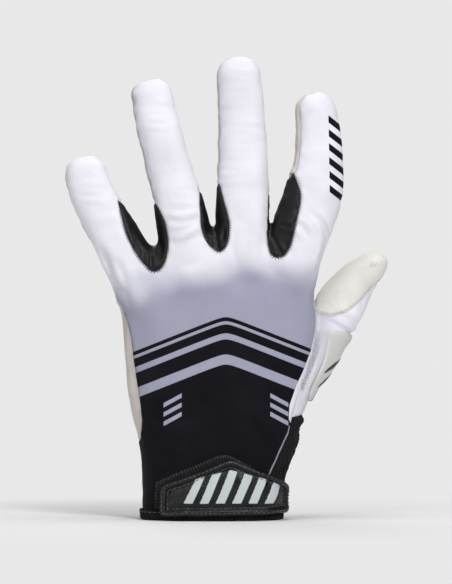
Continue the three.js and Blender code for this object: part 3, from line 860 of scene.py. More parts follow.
def print_numbers(p):
    """What the print is cut by: the height over the chevron's line, how far a place is past the tape's edge
    on the thumb side, and how far from the line of the ladder seam. The chevron's line drops to both sides
    from a rounded point: height = z + 0.4 (sqrt(x^2 + 9) - 3)."""
    x, _, z = p.T
    chevron = z + 0.4 * (np.sqrt((x - CHEVRON_X) ** 2 + 9) - 3)
    level, edge = np.array(TAPE_EDGE, float).T
    ladder, _ = line_distance(x, z, TAPE_LINE)
    return {"chevron": chevron, "tape": x - np.interp(z, level, edge), "ladder": ladder}


def white_stretch_knit():
    """Polyester and elastane knit, white, printed by sublimation: the colour sinks into the loops, so the
    relief runs through it. Wales 0.9 mm apart, courses 0.75 mm."""
    material, tree, shader = new_material("white stretch knit, printed", 0.78, 0.03, "#F0EEFF", 0.06)
    place = add(tree, "ShaderNodeTexCoord").outputs["Object"]
    parts = add(tree, "ShaderNodeSeparateXYZ", {0: place})
    x = math_of(tree, "MULTIPLY", parts.outputs[0], 1000.0)
    z = math_of(tree, "MULTIPLY", parts.outputs[2], 1000.0)
    chevron = number(tree, "chevron")
    loops = loops_of(tree, 0.9, 0.75)
    # The lavender below the white is partly the print's fade and partly painted shade in the valley behind
    # the knuckles. Its edge wanders with a soft noise, drops away from the middle, so that the knuckles to
    # the sides are painted lighter as a painted highlight, and stays above the stripes
    off_middle_highlight = math_of(tree, "ABSOLUTE", math_of(tree, "SUBTRACT", x, SHADE_MIDDLE_X))
    height = math_of(tree, "MULTIPLY_ADD", speckle(tree, 26, 1.0), 20.0, z)
    height = math_of(tree, "MULTIPLY_ADD", off_middle_highlight, 0.2, height)
    height = math_of(tree, "MAXIMUM", height, math_of(tree, "SUBTRACT", chevron, 45.0))
    fade = ramp(tree, height, *FADE, way="SMOOTHSTEP")
    cloth = mixed(tree, fade, srgb(LAVENDER_AND_SHADE), srgb(WHITE))
    ink = math_of(tree, "LESS_THAN", chevron, PRINT_TOP)
    for low, high in PALE_STRIPES:
        stripe = between(tree, chevron, low, high, PRINT_SOFT)
        ink = math_of(tree, "SUBTRACT", ink, stripe)
    for side in (-1.0, 1.0):
        away = math_of(tree, "MULTIPLY", math_of(tree, "SUBTRACT", x, CHEVRON_X), side)
        row = math_of(tree, "MULTIPLY_ADD", away, SHORT_SLANT, z)
        across = between(tree, away, *SHORT_ACROSS, PRINT_SOFT)
        for low in SHORT_BARS:
            bar = math_of(tree, "MULTIPLY", between(tree, row, low, low + SHORT_WIDE, PRINT_SOFT), across)
            ink = math_of(tree, "SUBTRACT", ink, bar)
    tape = number(tree, "tape")
    low_down = math_of(tree, "LESS_THAN", z, TAPE_TOP)
    taped = math_of(tree, "MULTIPLY", math_of(tree, "GREATER_THAN", tape, 0.0), low_down)
    ink = math_of(tree, "MULTIPLY", math_of(tree, "MAXIMUM", ink, 0.0), math_of(tree, "SUBTRACT", 1.0, taped))
    low, high, pitch, wide = FINGER_BARS
    row = math_of(tree, "MULTIPLY_ADD", math_of(tree, "SUBTRACT", x, FINGER_X), FINGER_SLANT, z)
    count = math_of(tree, "FRACT", math_of(tree, "DIVIDE", math_of(tree, "SUBTRACT", row, low), pitch))
    bars = math_of(tree, "LESS_THAN", count, wide / pitch)
    start = math_of(tree, "MULTIPLY_ADD", math_of(tree, "SUBTRACT", z, 183.0), -0.012, 57.4)
    for test in (between(tree, row, low, high, 0.05), math_of(tree, "GREATER_THAN", x, start)):
        bars = math_of(tree, "MULTIPLY", bars, test)
    ink = math_of(tree, "MAXIMUM", ink, bars)
    edge_line = between(tree, number(tree, "border"), *EDGE_LINE, 0.1)
    for test in (math_of(tree, "GREATER_THAN", x, EDGE_LINE_X), math_of(tree, "LESS_THAN", z, EDGE_LINE_TOP)):
        edge_line = math_of(tree, "MULTIPLY", edge_line, test)
    ink = math_of(tree, "SUBTRACT", ink, edge_line)
    under_ladder = ramp(tree, number(tree, "ladder"), 1.0, 1.9, 0.14, 0.0)
    white_tape = mixed(tree, taped, cloth, srgb("#EDEBF6"))
    white_tape = mixed(tree, under_ladder, white_tape, srgb("#A9A7BA"))
    printed = mixed(tree, ink, white_tape, srgb(INK))
    # Painted shade: the cloth is darkened in the dip along its seams, towards its border. A soft random tone
    # is mixed in with it, less on the ink
    seam = ramp(tree, number(tree, "border"), 0.0, 1.6, 0.16, 0.0)
    grey = math_of(tree, "MULTIPLY_ADD", speckle(tree, 9, 3.0), 0.06, seam)
    grey = math_of(tree, "MULTIPLY_ADD", math_of(tree, "MAXIMUM", speckle(tree, 24, 2.0), 0.42), 0.25, grey)
    grey = math_of(tree, "SUBTRACT", grey, 0.105)
    grey = math_of(tree, "MULTIPLY", grey, math_of(tree, "MULTIPLY_ADD", ink, -0.5, 1.0))
    tree.links.new(mixed(tree, grey, printed, srgb("#5C5A68")), shader.inputs["Base Color"])
    tree.links.new(
        math_of(tree, "MULTIPLY_ADD", ink, -0.14, math_of(tree, "MULTIPLY_ADD", loops, 0.08, 0.68)),
        shader.inputs["Roughness"],
    )
    fine = math_of(tree, "MULTIPLY_ADD", speckle(tree, 0.35), 0.35, loops)
    dented(tree, shader, fine, 0.1)
    return material


def synthetic_suede(name, clean, rubbed_colour):
    """Microfibre palm leather, off-white: a short brushed nap over a pebbled coating, greyer where rubbed."""
    material, tree, shader = new_material(name, 0.82, 0.15, "#FFF8EE")
    rubbed = ramp(tree, speckle(tree, 16, 4.0, 0.6), 0.4, 0.7)
    colour = mixed(tree, rubbed, srgb(clean), srgb(rubbed_colour))
    nap = speckle(tree, 1.4, 3.0, 0.65)
    flecked = mixed(tree, math_of(tree, "MULTIPLY", nap, 0.22), colour, srgb("#BDB5AA"))
    # Painted shade: darker in the dip along the seams, towards the border
    seam = ramp(tree, number(tree, "border"), 0.0, 1.2, 0.22, 0.0)
    tree.links.new(mixed(tree, seam, flecked, srgb("#8F877E")), shader.inputs["Base Color"])
    place = add(tree, "ShaderNodeTexCoord").outputs["Object"]
    pebble = add(tree, "ShaderNodeTexVoronoi", {"Vector": place, "Scale": 1100.0}, feature="SMOOTH_F1")
    fine = math_of(tree, "MULTIPLY", nap, 0.6)
    grain = math_of(tree, "MULTIPLY_ADD", pebble.outputs["Distance"], 0.7, fine)
    dented(tree, shader, grain, 0.14)
    return material


def satin_stretch():
    """Black four-way stretch cloth between the fingers: a warp knit with a satin face, so it shines softly
    where it is pulled over the crotch. Wales 0.7 mm apart, courses 0.6 mm."""
    material, tree, shader = new_material("black stretch satin", 0.42, 0.03, "#B9B7BE", 0.3)
    loops = loops_of(tree, 0.7, 0.6, 0.35)
    worn = speckle(tree, 5, 3.0)
    colour = mixed(tree, math_of(tree, "MULTIPLY", worn, 0.5), srgb("#060607"), srgb("#131214"))
    tree.links.new(colour, shader.inputs["Base Color"])
    tree.links.new(math_of(tree, "MULTIPLY_ADD", loops, 0.15, 0.34), shader.inputs["Roughness"])
    dented(tree, shader, loops, 0.08)
    return material


def moulded_rubber():
    """Pale grey thermoplastic rubber, moulded: a fine spark-eroded grain, and dark ribs standing out."""
    material, tree, shader = new_material("pale grey moulded rubber", 0.45)
    mark = ramp(tree, number(tree, "mark"), 0.42, 0.58)
    skin_colour = mixed(tree, speckle(tree, 12, 3.0), srgb("#D8D9D5"), srgb("#CBCCCA"))
    tree.links.new(mixed(tree, mark, skin_colour, srgb("#1E2022")), shader.inputs["Base Color"])
    dented(tree, shader, speckle(tree, 0.5), 0.05)
    return material


def rib_elastic(name, colour, light, rib_mm):
    """Black knitted elastic: upright ribs, gathered by the rubber threads in it, with a hairy matt face."""
    material, tree, shader = new_material(name, 0.9, 0.05, "#8A8A90", 0.2)
    place = add(tree, "ShaderNodeUVMap", uv_map="weave").outputs[0]
    parts = add(tree, "ShaderNodeSeparateXYZ", {0: place})
    rib = math_of(tree, "SINE", math_of(tree, "MULTIPLY", parts.outputs[0], 2 * math.pi / rib_mm))
    step = math_of(tree, "SINE", math_of(tree, "MULTIPLY", parts.outputs[1], 2 * math.pi / 0.8))
    height = math_of(tree, "MULTIPLY_ADD", rib, 0.3, math_of(tree, "MULTIPLY_ADD", step, 0.15, 0.5))
    hair = speckle(tree, 0.7, 4.0, 0.7)
    height = math_of(tree, "MULTIPLY_ADD", hair, 0.5, height)
    # The tops of the relief, ribs and hairs, are painted in the lighter colour: a painted highlight
    top = math_of(tree, "MULTIPLY", math_of(tree, "MULTIPLY", height, hair), 0.8)
    tree.links.new(mixed(tree, top, srgb(colour), srgb(light)), shader.inputs["Base Color"])
    dented(tree, shader, height, 0.3)
    return material


def loop_pile():
    """Black loop tape: a felt of fine nylon loops, nearly without shine."""
    material, tree, shader = new_material("black loop pile", 0.95, 0.06, "#77777D")
    fuzz = speckle(tree, 0.6, 4.0, 0.75)
    tree.links.new(mixed(tree, fuzz, srgb("#08080A"), srgb("#2A2A2D")), shader.inputs["Base Color"])
    dented(tree, shader, fuzz, 0.4)
    return material


def coated_leather(name, printed):
    """Black polyurethane-coated leather: a pebbled grain of 0.8 mm, and soft creases, duller on their high
    places. The tab also has slanted bars of silver-grey rubber ink."""
    material, tree, shader = new_material(name, 0.36, shine=0.36)
    place = add(tree, "ShaderNodeTexCoord").outputs["Object"]
    cells = add(tree, "ShaderNodeTexVoronoi", {"Vector": place, "Scale": 1250.0}, feature="DISTANCE_TO_EDGE")
    grain = ramp(tree, cells.outputs["Distance"], 0.0, 0.28)
    crease = speckle(tree, 4.5, 4.0, 0.6)
    colour = mixed(tree, crease, srgb("#060607"), srgb("#111213"))
    rough = math_of(tree, "MULTIPLY_ADD", crease, 0.35, 0.14)
    height = math_of(tree, "MULTIPLY_ADD", crease, 0.9, math_of(tree, "MULTIPLY", grain, 0.25))
    if printed:
        ink = ramp(tree, number(tree, "bars"), -0.06, 0.06)
        colour = mixed(tree, ink, colour, srgb("#C3CBCD"))
        rough = math_of(tree, "MULTIPLY_ADD", ink, 0.14, rough)
    tree.links.new(colour, shader.inputs["Base Color"])
    tree.links.new(rough, shader.inputs["Roughness"])
    dented(tree, shader, height, 0.22)
    return material


def thread(name, colour, roughness=0.55):
    """Twisted polyester sewing thread: its plies show as darker flecks along it."""
    material, tree, shader = new_material(name, roughness, 0.2)
    ply = speckle(tree, 0.5)
    dark = tuple(0.7 * v for v in srgb(colour)[:3]) + (1.0,)
    tree.links.new(mixed(tree, ply, srgb(colour), dark), shader.inputs["Base Color"])
    return material


white = white_stretch_knit()
cream = synthetic_suede("cream microfibre suede", "#ECEAE6", "#DDD9D2")
# The palm's suede is the thumb's suede in darker colours: painted shade of the side turned away from the
# lamps
shaded_palm_cream = synthetic_suede("cream microfibre suede, palm", "#D8D2CC", "#C8C0B9")
satin = satin_stretch()
rubber = moulded_rubber()
elastic = rib_elastic("black rib elastic", "#080708", "#2C2B2D", 1.6)
bound = rib_elastic("brown-black binding tape", "#0F0A09", "#2A211F", 1.1)
pile = loop_pile()
tab_coat = coated_leather("black coated leather, printed", True)
rim_coat = coated_leather("black coated leather", False)
black_thread = thread("black thread", "#1C1A1E")
grey_thread = thread("grey thread", "#55565A", 0.35)
white_thread = thread("white thread", "#E9E7F1")
cream_thread = thread("cream thread", "#DAD4C8")


def smooth_seam(p):
    """Less than nothing in front of the main seam, more behind it. On the hand it is the distance past the
    seam seen from the back, and on the fingers the depth past a share of the half depth."""
    x, y, z = p.T
    level, left, right = np.array(SIDE_SEAM, float).T
    on_hand = np.maximum(np.interp(z, level, left) - x, x - np.interp(z, level, right))
    on_hand = np.maximum(on_hand, np.where(x < 0, y - SEAM_DEEP[0], y - SEAM_DEEP[1]))
    side_low = smooth_step(z, 30, 42)
    little_side = (y - SEAM_DEEP[0]) * (1 - side_low) + on_hand * side_low
    on_hand = np.where(x < 0, little_side, on_hand)
    best = np.full(len(p), 1e9)
    on_finger = y + 0.5
    for name, (left_share, right_share) in FINGER_SEAM.items():
        digit = digits[name]
        near = digit.near(p)
        _, u, v, a, b = digit.place(p[near])
        d = digit.distance(p[near])
        share = left_share + (right_share - left_share) * (np.clip(u / a, -1, 1) + 1) / 2
        closer = d < best[near]
        index = np.flatnonzero(near)[closer]
        best[index] = d[closer]
        on_finger[index] = (v - share * b)[closer]
    up = smooth_step(z, 103, 118)
    return on_hand * (1 - up) + on_finger * up


# Seams seen from the back, x and z: the thumb leather's edge, and the two ends of the wrist panel's top edge.
# Then the thumb cloth's edges by level: x on its inner side, how far back it goes, and its top
THUMB_LINE = (
    (50.6, 103.6), (58, 101.2), (66, 103), (74, 109), (82, 118), (120, 118), (120, 150), (66, 150),
    (60, 135), (51.5, 117), (50.8, 109),
)
KNIT_TOP = ((-38, 38.6), (42, 51.5))
THUMB_CLOTH_INNER = ((40, 26), (58, 33), (78, 42), (92, 49.5), (99, 50.8), (130, 50.8))
THUMB_CLOTH_BACK = ((40, 15), (75, 20), (120, 27))
THUMB_CLOTH_TOP = 120
# Moulded guard on the thumb's base, seen from the back, how far back it reaches, and the ribs on it
GUARD = (
    (46.4, 58.4), (47.6, 64), (50.8, 70.6), (54.6, 78.7), (56.2, 86.3), (57, 92.6), (59.4, 94.6), (66, 93.2),
    (74, 91), (76, 75), (60, 57),
)
GUARD_BACK = 27
GUARD_INNER = 0.3  # how far its inside stands out from the skin
GUARD_FACE = (0.66, 0.75)  # level direction along the guard's face, x and y
GUARD_RIBS = ((41.6, 62.6), (44.4, 70), (45.8, 77.2))  # middles: along the face, level
RIB_HALF = (6.4, 3.4)


def patch_field(p, outline, back):
    """Less than nothing inside an outline seen from the back and ahead of a depth."""
    x, y, z = p.T
    return np.maximum(outline_distance(x, z, outline), y - back)


def over_knit_top(x, z):
    """The height over the wrist panel's top edge, a straight line seen from the back."""
    (x0, z0), (x1, z1) = KNIT_TOP
    return z - z0 - (z1 - z0) * (x - x0) / (x1 - x0)


rough_points, rough_faces = rough_form()
skin_points, skin_quads = remeshed(rough_points, rough_faces, VOXEL)
skin_points = drawn_to_skin(skin_points, skin_quads)
diagonal = np.linalg.norm(skin_points[skin_quads[:, 0]] - skin_points[skin_quads[:, 2]], axis=1)
other = np.linalg.norm(skin_points[skin_quads[:, 1]] - skin_points[skin_quads[:, 3]], axis=1)
short = (diagonal < other)[:, None]
first = np.where(short, skin_quads[:, [0, 1, 2]], skin_quads[:, [1, 2, 3]])
second = np.where(short, skin_quads[:, [0, 2, 3]], skin_quads[:, [1, 3, 0]])
skin = (skin_points, np.vstack([first, second]))
_, skin = split(skin, skin[0][:, 2] - HEM)
whole_skin = skin

panels = {}
for name, line in GUSSETS.items():
    outline = spline(line, 4 * len(line))
    panels[name], skin = split(skin, patch_field(skin[0], outline, GUSSET_BACK))
panels["back_panel"], rear = split(skin, smooth_seam(skin[0]))
x, y, z = rear[0].T
panels["thumb_leather"], rear = split(rear, outline_distance(x, z, THUMB_LINE))
x, y, z = rear[0].T
panels["wrist_knit"], rear = split(rear, over_knit_top(x, z))
x, y, z = rear[0].T
back = np.interp(z, *np.array(THUMB_CLOTH_BACK, float).T)
inner = np.interp(z, *np.array(THUMB_CLOTH_INNER, float).T)
thumb_side = np.maximum(np.maximum(inner - x, y - back), z - THUMB_CLOTH_TOP)
panels["thumb_cloth"], panels["palm_panel"] = split(rear, thumb_side)
panels = settled(panels)


def dress(thing, node):
    """Puts a finished piece in the place of its node in the frame."""
    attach(thing, BODY)
    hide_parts(node)


def gathered(p, d):
    """The elastic's outside: upright ribs, gathers and a rolled top edge. 0.32 cos(2 pi u / 2.7) grows from
    the border, 1.1 exp(-((t + 3.4) / 3)^2) is the roll, t being the height over the panel's top edge."""
    u = cloth_places(p)[:, 0]
    top = over_knit_top(p[:, 0], p[:, 2])
    ribs = 0.32 * np.cos(2 * np.pi * u / 2.7 + 0.8 * waves(p, 14, 21)) * smooth_step(d, 0.2, 1.6)
    roll = 1.1 * np.exp(-(((top + 3.4) / 3.0) ** 2)) * smooth_step(d, 0, 2) * smooth_step(p[:, 0], 5, 30)
    gather = 0.55 * waves(p, 9, 23) * smooth_step(d, 0.5, 4) * smooth_step(p[:, 2], 4, 12)
    return ribs + roll + gather - 0.5 * np.exp(-((d / 1.0) ** 2))


UNPRINTED = 200.0  # a height over the chevron's line at which nothing is printed
# Each panel's material, slot and title
PANEL_LOOKS = {
    "back_panel": (white, "white_knit", "printed_back"),
    "palm_panel": (shaded_palm_cream, "palm_leather", "suede_palm"),
    "thumb_leather": (cream, "palm_leather", "suede_thumb_cover"),
    "thumb_cloth": (white, "white_knit", "thumb_side_cloth"),
    "wrist_knit": (elastic, "black_rib", "gathered_elastic"),
    "gusset_little_ring": (satin, "black_stretch", "little_and_ring_gusset"),
    "gusset_ring_middle": (satin, "black_stretch", "ring_and_middle_gusset"),
    "gusset_middle_index": (satin, "black_stretch", "middle_and_index_gusset"),
}
for name, mesh in panels.items():
    look, slot, title = PANEL_LOOKS[name]
    numbers = print_numbers(mesh[0]) if look is white else None
    if name == "thumb_cloth":
        numbers["chevron"][:] = UNPRINTED
        numbers["tape"][:] = -1.0
    thing = walled(title, mesh, look, out=gathered if name == "wrist_knit" else None, numbers=numbers)
    dress(thing, name)


def rounded_edge(d, radius):
    """How far a sheet's face has risen at a distance from its edge: sqrt(1 - (1 - d/r)^2), up to 1."""
    left = 1 - np.clip(d / radius, 0, 1)
    return np.sqrt(1 - left * left)


def rib_marks(p):
    """1 on the guard's ribs, 0 off them, by the distance to each rib's middle line on the guard's face."""
    face = p[:, 0] * GUARD_FACE[0] + p[:, 1] * GUARD_FACE[1]
    mark = np.zeros(len(p))
    for middle, level in GUARD_RIBS:
        ends = np.array((middle, level)) + np.outer((-1, 1), RIB_HALF)
        d, share = line_distance(face, p[:, 2], ends)
        wide = 1.3 * (0.3 + 0.7 * np.sin(np.pi * np.clip(share, 0.04, 0.96)))
        mark = np.maximum(mark, 1 - smooth_step(d, wide - 0.3, wide + 0.3))
    return mark


def rounded_corners(points, radius, steps=5):
    """A closed outline with each corner replaced by a curve, (1-t)^2 a + 2 t (1-t) corner + t^2 b."""
    points = np.asarray(points, float)
    before, after = np.roll(points, 1, axis=0) - points, np.roll(points, -1, axis=0) - points
    t = np.linspace(0, 1, steps)[None, :, None]

    def reach(v):
        long = np.linalg.norm(v, axis=1, keepdims=True)
        return points + v / long * np.minimum(radius, 0.45 * long)

    a, b = reach(before)[:, None], reach(after)[:, None]
    return ((1 - t) ** 2 * a + 2 * t * (1 - t) * points[:, None] + t**2 * b).reshape(-1, 2)


guard_field = patch_field(whole_skin[0], rounded_corners(GUARD, 2.5), GUARD_BACK)
guard_part = without_scraps(split(whole_skin, guard_field)[0])
guard = walled(
    "moulded_guard", guard_part, rubber,
    out=lambda p, d: GUARD_INNER + 1.3 * rounded_edge(d, 1.5) + 0.35 * rib_marks(p),
    inner=GUARD_INNER,
    numbers={"mark": rib_marks(guard_part[0])},
)
dress(guard, "thumb_guard")

# The wrist's surface as a table over the turn round it and the height, from which the closure is laid on
TURNS = np.linspace(-np.pi, np.pi, 721)
LEVELS = np.arange(-1.0, 40.1, 0.5)
WRIST_LEVEL = 12.0  # arc lengths round the wrist are measured at this level


def wrist_table():
    """Points and normals of the skin round the wrist. A ray from the middle meets a superellipse at
    r = ((|sin t| / a)^n + (|cos t| / b)^n)^(-1/n), and Newton steps in its level move it onto the skin."""
    t, z = (v.ravel() for v in np.meshgrid(TURNS, LEVELS, indexing="ij"))
    left, right, front, back = hand_sizes(z)
    a = np.where(t < 0, -left, right)
    b = np.where(np.cos(t) > 0, -front, back)
    across, deep = np.abs(np.sin(t)) / a, np.abs(np.cos(t)) / b
    r = (across**HAND_POWER + deep**HAND_POWER) ** (-1 / HAND_POWER)
    p = np.stack([r * np.sin(t), -r * np.cos(t), z], -1)
    for _ in range(4):
        value, gradient = slope(p)
        flat = gradient[:, :2]
        p[:, :2] -= flat * (value / np.maximum((flat**2).sum(1), 0.2))[:, None]
    _, gradient = slope(p)
    shape = (len(TURNS), len(LEVELS), 3)
    return p.reshape(shape), unit(gradient).reshape(shape)


ring_points, ring_normals = wrist_table()
middle = ring_points[:, np.searchsorted(LEVELS, WRIST_LEVEL)]
AROUND = np.concatenate([[0], np.cumsum(np.linalg.norm(np.diff(middle[:, :2], axis=0), axis=1))])
AROUND = AROUND - np.interp(0.0, TURNS, AROUND)


def on_wrist(s, z, out):
    """The place at an arc length round the wrist, a height and a distance out from the skin, read from the
    table by straight interpolation both ways, and the normal there."""
    z, out = np.asarray(z, float), np.asarray(out, float)
    t = np.interp(s, AROUND, TURNS)
    i = np.clip((t - TURNS[0]) / (TURNS[1] - TURNS[0]), 0, len(TURNS) - 1.001)
    j = np.clip((z - LEVELS[0]) / (LEVELS[1] - LEVELS[0]), 0, len(LEVELS) - 1.001)
    i0, j0 = i.astype(int), j.astype(int)
    u, v = (i - i0)[..., None], (j - j0)[..., None]

    def read(table):
        low = table[i0, j0] * (1 - u) + table[i0 + 1, j0] * u
        high = table[i0, j0 + 1] * (1 - u) + table[i0 + 1, j0 + 1] * u
        return low * (1 - v) + high * v

    normal = unit(read(ring_normals))
    point = read(ring_points)
    point[..., 2] = z
    return point + normal * out[..., None], normal


front_half = (AROUND > -60) & (AROUND < 44)
front_x = on_wrist(AROUND[front_half], WRIST_LEVEL, 3.6)[0][:, 0]
rising = np.concatenate([[True], np.diff(np.maximum.accumulate(front_x)) > 1e-4])


def along_front(points):
    """An outline seen from the back, x and z, turned into arc lengths and heights."""
    points = np.asarray(points, float)
    s = np.interp(points[:, 0], front_x[rising], AROUND[front_half][rising])
    return np.stack([s, points[:, 1]], -1)


def arc_behind(x):
    """The arc length at which the palm side of the wrist passes an x, coming from the thumb side."""
    behind = AROUND > 45
    return float(np.interp(-x, -middle[behind, 0], AROUND[behind]))


def flat_piece(field, low, high, step):
    """A flat mesh over arc length and height, cut out where a field is less than nothing."""
    s = np.arange(low[0], high[0] + step, step)
    z = np.arange(low[1], high[1] + step, step)
    grid = np.stack(np.meshgrid(s, z, indexing="ij"), -1).reshape(-1, 2)
    quads = grid_faces(len(s), len(z), wrap=False)
    faces = np.vstack([quads[:, [0, 2, 1]], quads[:, [0, 3, 2]]])
    sheet = (np.column_stack([grid, np.zeros(len(grid))]), faces)
    return split(sheet, field(grid[:, 0], grid[:, 1]))[0]


def laid_on(name, part, low, top, material, numbers=None):
    """A flat piece laid round the wrist: an upper face at the heights top, a lower one at low, and a wall."""
    flat, faces = part
    s, z = flat[:, 0], flat[:, 1]
    upper, _ = on_wrist(s, z, top)
    lower, _ = on_wrist(s, z, low)
    edge = border(faces)
    count = len(s)
    rim = np.stack([edge[:, 1], edge[:, 0], edge[:, 0] + count, edge[:, 1] + count], -1)
    values = {key: np.tile(value, 2) for key, value in (numbers or {}).items()}
    return make_mesh(
        name, np.vstack([upper, lower]), [faces, faces[:, ::-1] + count, rim], material,
        uv=np.tile(flat[:, :2], (2, 1)), numbers=values,
    )


def even_path(points, step, closed=True):
    """Points a step apart along an outline."""
    points = np.asarray(points, float)
    if closed:
        points = np.vstack([points, points[:1]])
    long = np.concatenate([[0], np.cumsum(np.linalg.norm(np.diff(points, axis=0), axis=1))])
    count = max(int(round(long[-1] / step)), 2)
    at = np.linspace(0, long[-1], count, endpoint=not closed)
    return np.stack([np.interp(at, long, points[:, k]) for k in range(points.shape[1])], -1)


def inset(points, by):
    """A closed outline moved inwards along its own normals."""
    ahead = unit(np.roll(points, -1, axis=0) - np.roll(points, 1, axis=0))
    side = np.stack([-ahead[:, 1], ahead[:, 0]], -1)
    area = (points[:, 0] * np.roll(points[:, 1], -1) - np.roll(points[:, 0], -1) * points[:, 1]).sum()
    return points + side * by * np.sign(area)


def stitches(name, starts, ends, normals, radius, rise, material, sides=6):
    """Threads arched between pairs of holes: centre = a + t (b - a) + normal (rise sin(pi t) - sink), with a
    ring of points round it at each of five places along."""
    thick = np.array([0.75, 1.0, 1.05, 1.0, 0.75])
    t = np.linspace(0, 1, len(thick))
    run = ends - starts
    lift = rise * np.sin(np.pi * t) - 0.35 * radius
    centre = starts[:, None] + t[None, :, None] * run[:, None] + normals[:, None] * lift[None, :, None]
    ahead = unit(run[:, None] + normals[:, None] * (rise * np.pi * np.cos(np.pi * t))[None, :, None])
    side = unit(np.cross(np.broadcast_to(normals[:, None], ahead.shape), ahead))
    up = np.cross(ahead, side)
    angle = np.linspace(0, 2 * np.pi, sides, endpoint=False)
    taper = radius * thick[None, :, None, None]
    c, s = np.cos(angle)[:, None], np.sin(angle)[:, None]
    ring = centre[:, :, None] + taper * (c * side[:, :, None] + s * up[:, :, None])
    one = grid_faces(len(t), sides)
    each = (np.arange(len(starts)) * len(t) * sides)[:, None, None]
    quads = (one[None] + each).reshape(-1, 4)
    first_cap = (np.arange(sides)[::-1][None] + each[:, 0]).reshape(-1, sides)
    last_cap = ((len(t) - 1) * sides + np.arange(sides)[None] + each[:, 0]).reshape(-1, sides)
    return make_mesh(name, ring.reshape(-1, 3), [quads, first_cap, last_cap], material)


AHEAD_OF_ALL = -34.0  # a depth ahead of the whole glove


def front_skin(x, z):
    """The foremost place of the skin at x and z, found by stepping back by the distance left, its normal, and
    whether the skin was met."""
    p = np.stack([x, np.full(len(x), AHEAD_OF_ALL), z], -1).astype(float)
    for _ in range(40):
        p[:, 1] += np.clip(skin_distance(p), -2, 6) * 0.9
    value, gradient = slope(p)
    return p, unit(gradient), (np.abs(value) < 0.1) & (p[:, 1] < 30)


# Closure: outlines of the loop pad and of the tab, x and z seen from the back, and the strap's two edges
PAD_LINE = (
    (-30.8, 5.6), (-30.8, 18.8), (-26.4, 20.9), (1.8, 32.2), (6.4, 32.9), (11, 31.2), (30.5, 21), (30.5, 5.6),
)
TAB_LINE = ((-26.5, 2.2), (-26.6, 17.4), (7.6, 29.9), (10.2, 29.9), (36, 18), (36.4, 3.4))
STRAP_Z = (3.8, 16.6)
PILE_OUT = 1.25  # how far out from the skin the pile's loops start
TAB_OUT = 1.9  # how far out the tab's lower face lies
STRAP_SEAM_OUT = 3.66  # how far out the strap's stitches lie
# Rows of closure stitches: their pitch, a stitch's share of it, the thread's radius and how high it arches
STITCH_PITCH, STITCH_SHARE, THREAD_RADIUS, THREAD_RISE = 2.2, 0.72, 0.17, 0.16
strap_end = arc_behind(6)  # the strap starts behind the wrist at this x

pad_line = rounded_corners(along_front(PAD_LINE), 1.2)
pad_part = flat_piece(
    lambda s, z: outline_distance(s, z, pad_line), pad_line.min(0) - 1, pad_line.max(0) + 1, 0.5
)
pad_deep = -outline_distance(*pad_part[0][:, :2].T, pad_line)
pad_top = 0.5 + 0.9 * rounded_edge(pad_deep, 0.8) + 0.12 * waves(pad_part[0] * [1, 1, 0], 3.0, 31)
dress(laid_on("pile_pad", pad_part, 0.3, pad_top, pile), "loop_pad")

rng = np.random.default_rng(7)
spots = rng.uniform(pad_line.min(0), pad_line.max(0), (9000, 2))
tab_line = along_front(TAB_LINE)
tab_round = rounded_corners(tab_line, 3.0)
deep = -outline_distance(*spots.T, pad_line)
clear = outline_distance(*spots.T, tab_round)
spots = spots[(deep > 0.1) & (clear > -1.5)][:1500]
lean = rng.uniform(0, 2 * np.pi, len(spots))
reach = 0.35 + 0.3 * rng.random(len(spots))
one_end, normal = on_wrist(*spots.T, PILE_OUT)
other_end, _ = on_wrist(spots[:, 0] + reach * np.cos(lean), spots[:, 1] + reach * np.sin(lean), PILE_OUT)
loops = stitches("pile_loops", one_end, other_end, normal, 0.09, 0.55, pile, sides=4)
dress(loops, "loop_pad")

edge_path = even_path(pad_line, 1.5)
inner_path = inset(edge_path, 1.5)
keep = (edge_path[:, 1] > 6.5) & (outline_distance(*edge_path.T, tab_round) > 0.3)
a, normal = on_wrist(*edge_path[keep].T, 0.9)
b, _ = on_wrist(*inner_path[keep].T, 1.55)
dress(stitches("pad_edge_stitches", a, b, normal, THREAD_RADIUS, 0.25, grey_thread), "loop_pad")

side_s = tab_line[4, 0]
strap_line = np.array(
    [(side_s - 6, STRAP_Z[1] + 1.2), (strap_end, STRAP_Z[1]), (strap_end, STRAP_Z[0]), (side_s - 6, 3.4)]
)


def tab_field(s, z):
    """Less than nothing on the tab or on its strap."""
    tab = outline_distance(s, z, tab_round)
    strap = outline_distance(s, z, rounded_corners(strap_line, 2.0))
    return np.minimum(tab, strap)


tab_part = flat_piece(tab_field, (tab_line[:, 0].min() - 1, 1), (strap_end + 1, 31), 0.4)
s, z = tab_part[0][:, 0], tab_part[0][:, 1]
deep = -tab_field(s, z)
inside_rim = -outline_distance(s, z, tab_round)
on_tab = smooth_step(inside_rim, 0, 1.5)
puff = 0.55 * smooth_step(inside_rim, 3.4, 8) - 0.3 * np.exp(-(((inside_rim - 3.7) / 0.5) ** 2))
pucker = 0.22 * waves(tab_part[0] * [1, 1, 0], 4.2, 41) * np.exp(-np.abs(inside_rim - 3.7) / 2.5)
strap_dip = -0.2 * np.exp(-(((deep - 1.7) / 0.4) ** 2)) * (1 - on_tab)
tab_top = TAB_OUT + 1.9 * rounded_edge(deep, 0.9) + on_tab * (puff + pucker) + strap_dip

